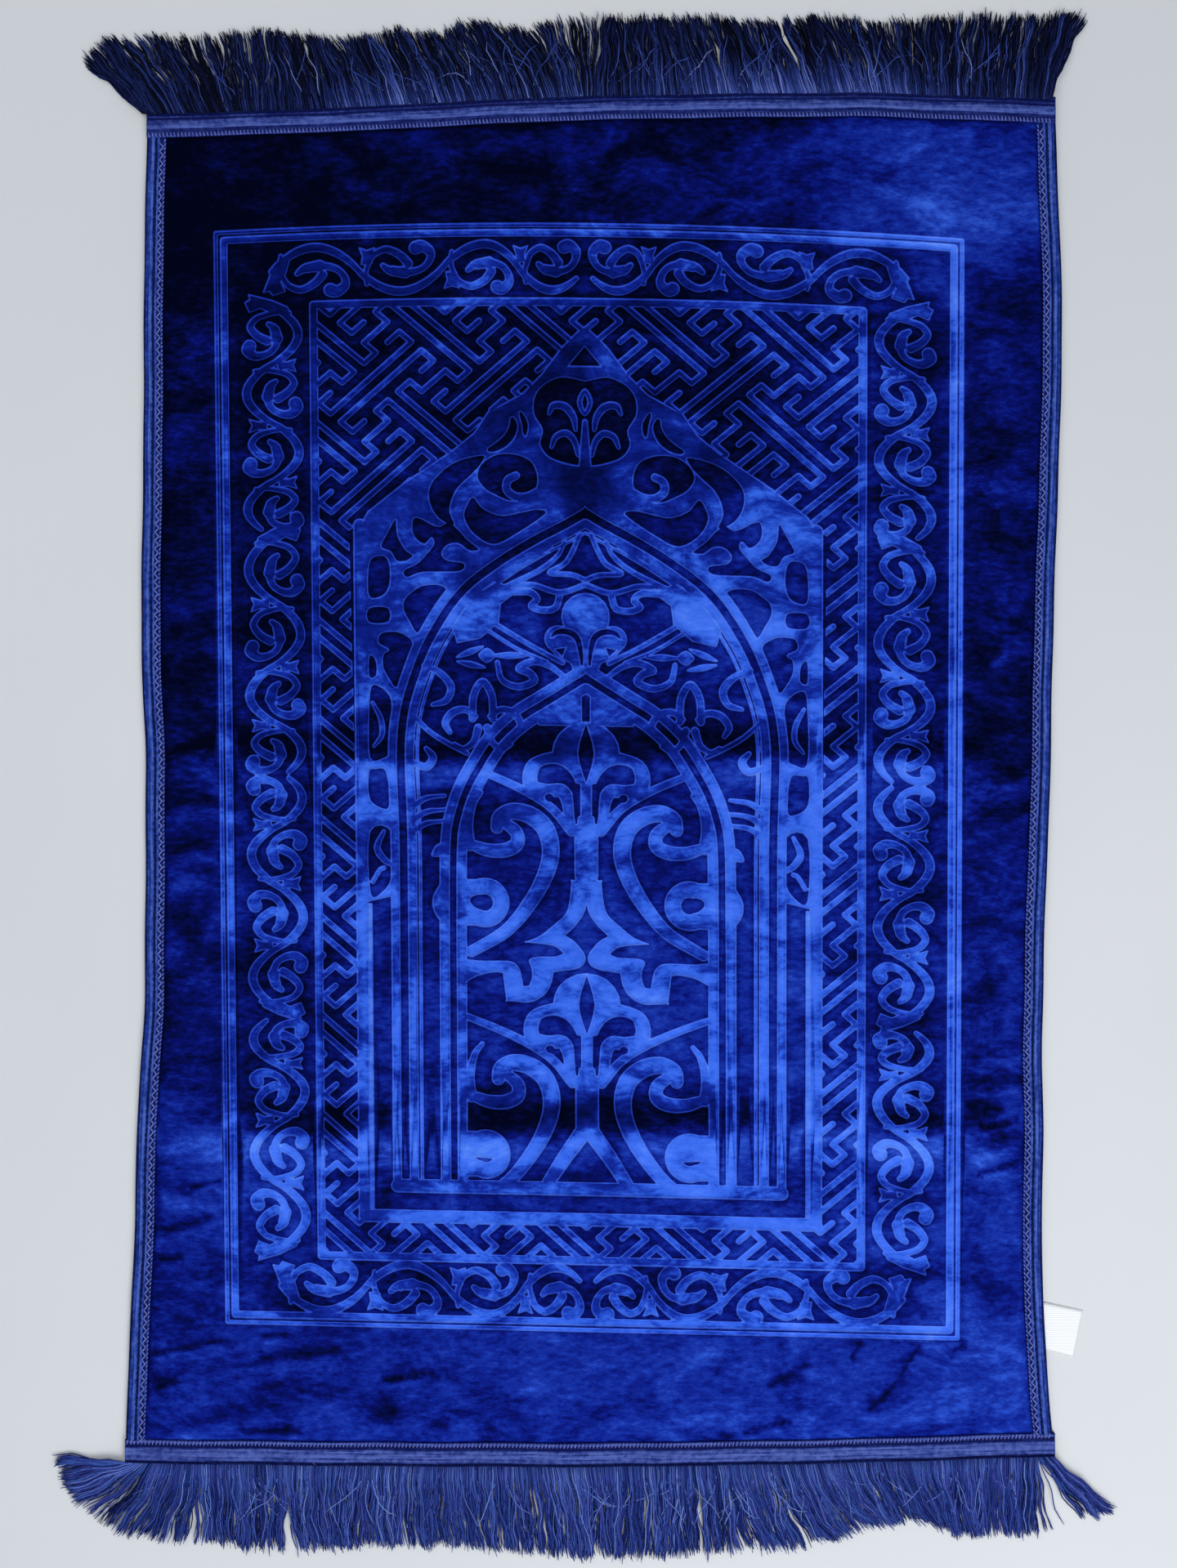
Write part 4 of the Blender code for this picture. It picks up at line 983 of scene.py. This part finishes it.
def bindings(materials, thread_light, thread_dark):
    """Binding down each long side: rolled hem, flat tape, seam stitches and a chained inner edge."""
    out = []
    for name, table, inward in (("left", LEFT_EDGE, 1), ("right", RIGHT_EDGE, -1)):
        # both ends run 4 mm in under the end tapes
        low = float(edge_at(BOTTOM_EDGE, float(edge_at(table, -CORNER_Y)))) + END_TAPE_WIDTH - 4
        high = float(edge_at(TOP_EDGE, float(edge_at(table, CORNER_Y)))) - END_TAPE_WIDTH + 4
        body = tape(f"side_tape_{name}", table, low, high, 2.6, inward, True, fold(SIDE_OUTSIDE), materials)
        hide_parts(f"side_binding_{name}")
        # knots drawn down into the tape, a dark dot at each
        seam = stitch_row(table, low + 3, high - 3, SEAM_PITCH, inward, True, arc(2.6, 8.8, 4.6, 0.5, 0.4))
        seam[:, :, 1] += 0.5 * np.sin(np.arange(len(seam)) * 2.4)[:, None]
        seam[:, :, 0] += 0.35 * np.sin(np.arange(len(seam)) * 1.7)[:, None]
        # a zigzag over the inner edge, seven millimetres to a turn
        chain = np.concatenate([stitch_row(table, low + 3 + k, high - 7 + k, ZIGZAG_TURN, inward, True,
            arc(4.0, 13.4, 5.0, 0.6, slant)) for k, slant in ((0, 3.4), (ZIGZAG_TURN / 2, -3.4))])
        edge = stitch_row(table, low + 3, high - 3, EDGE_PITCH, inward, True, arc(1.9, 16.4, 5.1, 0.5, 0.9))
        out.append(body)
        for kind, rows, thick, thread in (("seam", seam, (0.6, 1.1, 1.35, 1.1, 0.6), thread_dark),
                ("chain", chain, 0.68, thread_light), ("edge", edge, 0.55, thread_light)):
            out.append(threads(f"{kind}_thread_{name}", rows, thick, thread))
    return out


def end_tapes(materials, thread_light, thread_dark):
    """Braid tape folded over each end, overcast along its inner edge."""
    out = []
    for name, table, inward, outside in (("top", TOP_EDGE, -1, TOP_OUTSIDE),
            ("bottom", BOTTOM_EDGE, 1, FOOT_OUTSIDE)):
        up = 1 if name == "top" else -1
        low, high = (float(edge_at(side, CORNER_Y * up)) for side in (LEFT_EDGE, RIGHT_EDGE))
        raised = [(d, z + (0.35 if z > 3 else 0.0), tone) for d, z, tone in outside]
        body = tape(f"end_tape_cloth_{name}", table, low, high, 2.4, inward, False, fold(raised), materials)
        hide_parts(f"end_tape_{name}")
        inner = stitch_row(table, low + 2, high - 2, OVERCAST_PITCH, inward, False,
            arc(0.8, 21.2, 5.1, 0.8, 3.6))
        ribs = [stitch_row(table, low + 1, high - 1, RIB_PITCH, inward, False, arc(1.5, d, 5.15, 0.5, 0.7))
            for d in ((1.2, 3.1) if name == "top" else (1.2, 2.4))]
        out += [body, threads(f"overcast_thread_{name}", inner, 0.6, thread_light),
            threads(f"rib_thread_{name}", np.concatenate(ribs), 0.4, thread_dark, 4)]
    return out


# ---------------------------------------------------------------- fringe and label

def fringe(name, seed, edge_table, table, partings, out, ground, material):
    """Single yarns that cling together in strands and fan out from the end tape onto the floor.

    ground is the tone of the under layer; a few yarns lie across the rest, painted pale where they catch
    the light."""
    rng = np.random.default_rng(seed)
    n, steps, corner = YARNS_PER_END, 9, YARNS_PER_END // 30
    first, last = table[0][0], table[-1][0]
    x0 = np.concatenate([np.linspace(first, last, n - 2 * corner), rng.uniform(first, first + 12, corner),
        rng.uniform(last - 11, last, corner)])
    x0 = np.clip(x0 + rng.normal(0, 0.5, n), first, last)
    roots, *laid = np.array(table).T
    lean, tip_lean, size, pale = (np.interp(x0, roots, column)[:, None] for column in laid)
    # the strand each yarn clings to, and where in it
    strand = x0 / STRAND + 0.8 * np.sin(x0 / 11) + 0.6 * np.sin(x0 / 4.7)
    spot = (strand - np.floor(strand) - 0.5)[:, None]
    crown = 1 - 4 * spot ** 2
    own = rng.normal(0, 1, (997, 2))[np.floor(strand).astype(int) % 997]
    stray = (rng.uniform(0, 1, (n, 1)) < STRAY) * (np.abs(x0) < 365)[:, None]
    turn = 4.0 * np.sin(x0 / 8.3 + 2.2 * np.sin(x0 / 27)) + 2.4 * own[:, 0] + rng.normal(0, 2.4, n)
    s = np.linspace(0, 1, steps)[None, :]
    swerve = stray * (rng.normal(0, 16, (n, 1)) + rng.normal(0, 42, (n, 1)) * s)
    angle = np.radians(lean + (tip_lean - lean) * s ** 0.8 + turn[:, None] * s ** 0.5 + swerve)
    size = size * (1 + 0.02 * own[:, 1:] + rng.normal(0.0, 0.035, (n, 1)) - 0.25 * stray)
    reach = size * s
    step = size / (steps - 1)
    heading = (angle[:, 1:] + angle[:, :-1]) / 2
    go_x, go_y = (np.concatenate([np.zeros((n, 1)), np.cumsum(step * turned, 1)], 1)
        for turned in (np.sin(heading), np.cos(heading)))
    swing = 1.35 * np.sin(reach / 6.4 + 3.2 * np.sin(x0 / 9)[:, None] + rng.normal(0, 0.5, (n, 1)))
    kink = rng.uniform(0.15, 0.65, (n, 1)) * np.sin(reach / rng.uniform(2.6, 5.0, (n, 1))
        + rng.uniform(0, 6.3, (n, 1)))
    aside = (swing + kink) * np.minimum(1, s * 3) - 1.1 * spot * s
    for at, gap, opens, closes in partings:
        side = np.where(x0 > at, 1.0, -1.0) * np.exp(-np.abs(x0 - at) / 9)
        aside = aside + gap * side[:, None] * np.sin(math.pi * np.clip((s - opens) / (closes - opens), 0,
            1))
    x = x0[:, None] + go_x + aside * np.cos(angle)
    y = edge_at(edge_table, x0)[:, None] + out * (go_y - 3.4 - aside * np.sin(angle))
    layer = rng.uniform(0.0, 1.0, (n, 1)) * (1 - stray) + stray
    top = 6.4 + 1.2 * crown * (1 - stray)
    z = top * (1 - s) ** 2 + 0.5 + (3.0 * layer + 1.6 * crown) * np.minimum(1, 1.5 * s) * (1 - 0.35 * s)
    z = z + 1.2 * stray * s
    radius = YARN_HALF * rng.uniform(0.8, 1.2, (n, 1)) * np.where(s > 0.95, 0.5, 1.0)
    z = np.maximum(z, radius + 0.05)
    # painted light and shade in the tone: a few yarns at random, more on the upper layers, each strand's
    # crown, the strays lying over the rest and the roots are painted lighter, and the lower layers darker
    bright = (rng.uniform(0, 1, (n, 1)) < 0.16) * rng.uniform(0.15, 0.4, (n, 1)) * layer
    fade = np.clip(1 - s / (0.3 + 0.22 * pale + 0.06 * own[:, :1]), 0, 1) ** 0.7
    tone = ground + 0.16 * crown + (0.08 * own[:, 1:] + rng.normal(0, 0.11, (n, 1))) * (1 - stray)
    tone = np.clip(tone + bright + 0.42 * stray + 0.5 * pale * fade + 0.2 * (layer - 0.4), 0, 1)
    return threads(name, np.stack([x, y, z], 2), radius, material, 3, {"tone": tone})


# Label: where its upper and lower sides enter the binding, how far its ends are tucked in, and the
# corners of its folded edge
LABEL_ENDS, LABEL_TUCK = (-453.0, -494.5), 1.0
LABEL_FOLD = ((430.0, -460.5), (421.5, -501.0))


def side_label(material):
    """Blank woven label folded in two, its ends caught in the right binding."""
    near_top, near_low = (np.array([float(edge_at(RIGHT_EDGE, y)) - LABEL_TUCK, y]) for y in LABEL_ENDS)
    far_top, far_low = (np.array(corner) for corner in LABEL_FOLD)
    cols, rows = 18, 14
    v, u = (q.reshape(-1, 1) for q in np.meshgrid(np.arange(rows + 1) / rows, np.arange(cols + 1) / cols,
        indexing="ij"))
    flat = (near_low * (1 - u) + far_low * u) * (1 - v) + (near_top * (1 - u) + far_top * u) * v
    under, over = (0.35 + 0.5 * ply * (1 - u ** 6) + 0.25 * np.sin(3 * v + 2 * u) * u * 0.4
        + 0.3 * (1 - u) ** 3 for ply in (0, 1))
    verts = np.vstack([np.hstack([flat, np.maximum(0.06, under - 0.2)]), np.hstack([flat, over])])
    ids = np.arange(len(flat)).reshape(rows + 1, cols + 1)
    quads = np.stack([ids[:-1, :-1], ids[:-1, 1:], ids[1:, 1:], ids[1:, :-1]], 2).reshape(-1, 4)
    rim = [*ids[0, :-1], *ids[:-1, -1], *ids[-1, :0:-1], *ids[:0:-1, 0]]
    faces = quads[:, ::-1].tolist() + (quads + len(flat)).tolist()
    faces += [(a, b, len(flat) + b, len(flat) + a) for a, b in zip(rim, rim[1:] + rim[:1])]
    label = piece("blank_label", verts, faces, [material])
    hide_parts("side_label")
    return label


# ---------------------------------------------------------------- materials

def begin(name):
    """New material, its node tree and the place on the rug, in metres."""
    material = bpy.data.materials.new(name)
    material.use_nodes = True
    return material, material.node_tree, add(material.node_tree, "TexCoord", out="Object")


def finish(material, **inputs):
    """Give a material's shader its values and the outputs that feed it."""
    tree = material.node_tree
    feed(tree, tree.nodes["Principled BSDF"],
        {name.replace("_", " "): value for name, value in inputs.items()})
    return material


# Colours of the plush from darkest to lightest, picked along the nap value with its painted light and
# shade: standing pile, the melted-down floor, and the painted highlight of the fibre splayed along their
# edges
STANDING = (
    (0.0, "#020416"), (0.14, "#04082c"), (0.24, "#060c46"), (0.38, "#09126a"), (0.52, "#0f228c"),
    (0.67, "#1934a4"), (0.83, "#294ec6"), (1.0, "#3c68e2"))
MELTED = (
    (0.0, "#040a38"), (0.14, "#07125a"), (0.27, "#0c1d7c"), (0.37, "#142c9c"), (0.45, "#2248c0"),
    (0.54, "#3464e2"), (0.7, "#4474f2"), (1.0, "#6496fc"))
SPLAYED_FIBRE_HIGHLIGHT = (
    (0.0, "#2038b0"), (0.27, "#2c4cce"), (0.4, "#3a62e2"), (0.54, "#4c7af2"), (0.75, "#5e8cfa"),
    (1.0, "#84aeff"))


def embossed_plush():
    """Polyester plush, cut pile, embossed with hot rollers: the standing pile drinks the light and looks
    nearly black, the melted-down places are royal blue, a painted highlight runs along them where the fibre
    is splayed, and painted light and shade lie over the nap."""
    material, tree, place = begin("embossed_polyester_plush")
    x, y = (add(tree, "SeparateXYZ", {"Vector": place}, axis) for axis in "XY")
    # the second mark is the painted light and shade laid on the cloth's points: creases, patches, frame and
    # furrows
    pile, painted_light_mark = (add(tree, "Attribute", out="Fac", attribute_name=mark) for mark in ("pile", "painted_nap_light"))
    # brushed patches of nap, 10 to 40 mm across, drawn out along the rug's width
    stretched = add(tree, "Mapping", {"Vector": place, "Scale": (0.6, 1.0, 1.0)})
    patches = add(tree, "TexNoise", {"Vector": stretched, "Scale": 22.0, "Detail": 6.0, "Roughness": 0.66,
                                     "Distortion": 0.8})
    # finer strokes of the hand, 4 mm by 2 mm
    stroked = add(tree, "Mapping", {"Vector": place, "Scale": (0.45, 1.0, 1.0)})
    mottle = add(tree, "TexNoise", {"Vector": stroked, "Scale": 260.0, "Detail": 4.0, "Roughness": 0.62})
    # Painted light and shade on the nap: darker towards the arch's end and lighter towards the foot and on
    # the right; random patches and strokes of tone vary it too. Standing pile is painted darker where it is
    # narrow, near the pressed edges, and the floor a little lighter away from them. Each row: what is read,
    # its range, and how far that turns the nap
    turned = ((y, 0.45, -0.5, 0.04, 0.38), (x, -0.4, 0.42, -0.03, 0.14), (patches, 0.34, 0.68, -0.26, 0.34),
              (mottle, 0.3, 0.7, -0.12, 0.15), (pile, 1.0, 1.3, -0.11, 0.0), (pile, -0.3, 0.0, 0.05, 0.0))
    painted_light_lengthwise, across, spread, grain, painted_edge_shade, deep = (
        add(tree, "MapRange", {"Value": value, "From Min": a, "From Max": b, "To Min": c, "To Max": d})
        for value, a, b, c, d in turned)
    nap = painted_light_lengthwise
    for part in (across, spread, grain, painted_light_mark):
        nap = add(tree, "Math", {0: nap, 1: part}, operation="ADD")
    # standing pile shows the patches a third less, and the smoother melted floor the finer strokes less
    on_pile, on_floor = (
        add(tree, "Math", {0: less, 1: -share, 2: add(tree, "Math", {0: nap, 1: part}, operation="ADD")},
            operation="MULTIPLY_ADD")
        for part, less, share in ((painted_edge_shade, spread, 0.36), (deep, grain, 0.4)))
    # standing pile answers the nap value, painted light and shade included, more sharply than the rest
    lain = (add(tree, "MapRange", {"Value": value, "From Min": low, "From Max": high})
            for value, low, high in ((on_pile, -0.1, 0.84), (on_floor, -0.2, 1.0), (nap, -0.2, 1.0)))
    # the third ramp is the painted highlight of the splayed fibre
    standing, melted, splayed = (add(tree, "ValToRGB", {"Fac": value}, stops=stops)
                                 for value, stops in zip(lain, (STANDING, MELTED, SPLAYED_FIBRE_HIGHLIGHT)))
    solid = add(tree, "MapRange", {"Value": pile})
    body = add(tree, "Mix", {"Factor": solid, "A": melted, "B": standing}, "Result", data_type="RGBA")
    # the painted highlight of the splayed fibre lies where the pile is just under half its height
    off = add(tree, "Math", {0: pile, 1: 0.44}, operation="SUBTRACT")
    off = add(tree, "Math", {0: off}, operation="ABSOLUTE")
    line = add(tree, "MapRange", {"Value": off, "From Min": 0.2, "From Max": 0.46, "To Min": 0.85,
                                  "To Max": 0.0}, interpolation_type="SMOOTHSTEP")
    colour = add(tree, "Mix", {"Factor": line, "A": body, "B": splayed}, "Result", data_type="RGBA")
    gloss = add(tree, "MapRange", {"Value": pile, "To Min": 0.55, "To Max": 0.95})
    # fibre tips about 0.5 mm apart, and tufts that lean together over 3 mm
    tips = add(tree, "TexNoise", {"Vector": place, "Scale": 1600.0, "Detail": 2.0})
    tufts = add(tree, "TexNoise", {"Vector": place, "Scale": 330.0, "Detail": 3.0})
    fine = add(tree, "Bump", {"Height": tips, "Strength": 0.5, "Distance": 0.0004})
    relief = add(tree, "Bump", {"Height": tufts, "Strength": 0.5, "Distance": 0.0012, "Normal": fine})
    return finish(material, Base_Color=colour, Roughness=gloss, Normal=relief, Specular_IOR_Level=0.1,
                  Specular_Tint=linear("#2f55ff"), Sheen_Weight=0.05, Sheen_Roughness=0.3,
                  Sheen_Tint=linear("#3457ff"))


def knitted_back():
    """Polyester warp knit that the pile is sewn through: dull navy with fine rows."""
    material, tree, place = begin("knitted_polyester_back")
    # knit rows 1.6 mm apart
    rows = add(tree, "TexWave", {"Vector": place, "Scale": 98.0, "Distortion": 1.0, "Detail": 2.0}, "Fac")
    colour = add(tree, "ValToRGB", {"Fac": rows}, stops=((0.0, "#0c1440"), (1.0, "#1a2766")))
    relief = add(tree, "Bump", {"Height": rows, "Strength": 0.4, "Distance": 0.0006})
    return finish(material, Base_Color=colour, Roughness=0.85, Normal=relief)


def braided_tape(name, dark, mid, light):
    """Polyester braid, satin-woven: violet-blue with a soft shine, nearly black in its grooves from painted
    shade and lighter on its crowns from painted light, and streaked along its length by the floats."""
    material, tree, place = begin(name)
    tone, run, depth = (add(tree, "Attribute", out="Fac", attribute_name=mark)
        for mark in ("tone", "run", "depth"))
    # floats 35 mm long and 1.5 mm wide, coarser than real so that they show
    along, over = (add(tree, "Math", {0: reach, 1: share}, operation="MULTIPLY")
        for reach, share in ((run, 0.028), (depth, 0.66)))
    flat = add(tree, "CombineXYZ", {"X": along, "Y": over})
    floats = add(tree, "TexNoise", {"Vector": flat, "Scale": 1.0, "Detail": 3.0})
    # wear and lint in blotches 4 mm across
    worn = add(tree, "TexNoise", {"Vector": place, "Scale": 240.0, "Detail": 3.0})
    shade = tone
    for noise, darker, lighter in ((floats, -0.3, 0.26), (worn, -0.24, 0.16)):
        drift = add(tree, "MapRange", {"Value": noise, "From Min": 0.3, "From Max": 0.7, "To Min": darker,
            "To Max": lighter})
        shade = add(tree, "Math", {0: shade, 1: drift}, operation="ADD")
    colour = add(tree, "ValToRGB", {"Fac": shade}, stops=((0.0, dark), (0.5, mid), (1.0, light)))
    # braid picks 1.1 mm apart, crossing at a slant
    turned = add(tree, "Mapping", {"Vector": place, "Scale": (-1.0, 1.0, 1.0)})
    left, right = (add(tree, "TexWave", {"Vector": way, "Scale": 140.0, "Distortion": 0.6}, "Fac",
        bands_direction="DIAGONAL") for way in (place, turned))
    weave = add(tree, "Math", {0: left, 1: right}, operation="MAXIMUM")
    relief = add(tree, "Bump", {"Height": weave, "Strength": 0.45, "Distance": 0.0005})
    return finish(material, Base_Color=colour, Roughness=0.65, Normal=relief, Specular_IOR_Level=0.07)


def sewing_thread(name, dark, light):
    """Twisted polyester thread: a little lighter on its crowns, where the bump stands highest: a painted
    highlight.
    """
    material, tree, place = begin(name)
    twist_and_highlight = add(tree, "TexNoise", {"Vector": place, "Scale": 900.0, "Detail": 2.0})
    colour = add(tree, "ValToRGB", {"Fac": twist_and_highlight}, stops=((0.3, dark), (0.7, light)))
    relief = add(tree, "Bump", {"Height": twist_and_highlight, "Strength": 0.4, "Distance": 0.0003})
    return finish(material, Base_Color=colour, Roughness=0.6, Normal=relief, Specular_IOR_Level=0.12)


def fringe_yarn(name, *stops):
    """Soft twisted acrylic yarn: each yarn a shade of its own, with painted shade that dulls the under
    layer and painted light where it leaves the tape and on the few that catch the light."""
    material, tree, place = begin(name)
    tone = add(tree, "Attribute", out="Fac", attribute_name="tone")
    colour = add(tree, "ValToRGB", {"Fac": tone}, stops=stops)
    # plies about 0.9 mm apart
    plies = add(tree, "TexNoise", {"Vector": place, "Scale": 1100.0, "Detail": 1.0})
    relief = add(tree, "Bump", {"Height": plies, "Strength": 0.5, "Distance": 0.0004})
    return finish(material, Base_Color=colour, Roughness=0.75, Normal=relief, Specular_IOR_Level=0.08)


def woven_label():
    """Polyester satin ribbon, woven: bright white with a faint rib."""
    material, tree, place = begin("woven_satin_ribbon")
    # rib 0.8 mm apart, coarser than real so that it shows
    rib = add(tree, "TexWave", {"Vector": place, "Scale": 190.0, "Distortion": 0.4}, "Fac",
        bands_direction="Y")
    colour = add(tree, "ValToRGB", {"Fac": rib}, stops=((0.0, "#dfe4ea"), (1.0, "#f6f8fa")))
    relief = add(tree, "Bump", {"Height": rib, "Strength": 0.3, "Distance": 0.0003})
    return finish(material, Base_Color=colour, Roughness=0.42, Normal=relief, Sheen_Weight=0.1)


# ---------------------------------------------------------------- floor, light and camera

# Metres from here on: half side and height of the floor, and each softbox's name, place, aim, size
# and watts
FLOOR_HALF, FLOOR_Z = 4, -0.0004
SOFTBOXES = (
    ("key_softbox", (0.9, -1.7, 2.1), (0, -0.1, 0), 1.8, 46),
    ("fill_softbox", (-1.6, 1.3, 2.4), (0, 0.1, 0), 2.2, 22),
    ("top_softbox", (0.2, 0.1, 3.2), (0, 0, 0), 1.6, 18))
ROOM_LIGHT = 0.35
CAMERA_AT = (-0.0029, 0.0004, 1.907)


def stage():
    """Pale floor, soft studio light and a camera that looks straight down."""
    mesh = bpy.data.meshes.new("studio_floor")
    corners = ((-1, -1), (1, -1), (1, 1), (-1, 1))
    mesh.from_pydata([(x * FLOOR_HALF, y * FLOOR_HALF, FLOOR_Z) for x, y in corners], [], [(0, 1, 2, 3)])
    floor = set_up("studio_floor", mesh)
    material, tree, place = begin("matt_studio_paper")
    fibre = add(tree, "TexNoise", {"Vector": place, "Scale": 3.0, "Detail": 2.0})
    colour = add(tree, "ValToRGB", {"Fac": fibre}, stops=((0.3, "#d6dade"), (0.7, "#dadde1")))
    mesh.materials.append(finish(material, Base_Color=colour, Roughness=0.9))
    for name, place, aim, size, power in SOFTBOXES:
        light = set_up(name, bpy.data.lights.new(name, "AREA"))
        light.data.size = size
        light.data.energy = power
        light.location = place
        light.rotation_euler = (Vector(aim) - Vector(place)).to_track_quat("-Z", "Y").to_euler()
    world = bpy.data.worlds.new("soft_room")
    world.use_nodes = True
    feed(world.node_tree, world.node_tree.nodes["Background"],
        {"Color": linear("#dfe5ee"), "Strength": ROOM_LIGHT})
    bpy.context.scene.world = world
    camera = set_up("camera", bpy.data.cameras.new("camera"))
    camera.data.lens = 50
    camera.data.sensor_width = 36
    camera.location = CAMERA_AT
    bpy.context.scene.camera = camera
    bpy.context.scene.view_settings.view_transform = "Standard"


def build():
    stage()
    tape_side = [braided_tape("satin_braid_side", "#040f48", "#18348c", "#4a66bc")]
    tape_end = [braided_tape("satin_braid_end", "#050f4e", "#1f2f78", "#4f62b0")]
    pale = sewing_thread("pale_sewing_thread", "#4250a8", "#7c88d2")
    navy = sewing_thread("navy_sewing_thread", "#030a36", "#0c1a60")
    cloth = plush_cloth([embossed_plush(), knitted_back()])
    trims = bindings(tape_side, pale, navy) + end_tapes(tape_end, pale, navy)
    # the top fringe gets a darker copy of the same yarn and a lower ground tone: painted shade
    painted_shade_yarn = fringe_yarn("acrylic_yarn_top", (0.0, "#01030c"), (0.25, "#060d2e"), (0.5, "#1c2b68"),
        (0.75, "#3c52a4"), (1.0, "#7382c8"))
    blue_yarn = fringe_yarn("acrylic_yarn_bottom", (0.0, "#041042"), (0.2, "#12205e"), (0.34, "#1b327c"),
        (0.48, "#343f92"), (0.62, "#3a5aa8"), (0.78, "#5868ba"), (1.0, "#7490d2"))
    top = fringe("top_fringe_yarns", 11, TOP_EDGE, TOP_FRINGE, TOP_PARTINGS, 1, 0.03, painted_shade_yarn)
    foot = fringe("bottom_fringe_yarns", 12, BOTTOM_EDGE, BOTTOM_FRINGE, BOTTOM_PARTINGS, -1, 0.2,
        blue_yarn)
    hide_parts("fringe_top")
    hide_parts("fringe_bottom")
    label = side_label(woven_label())


build()
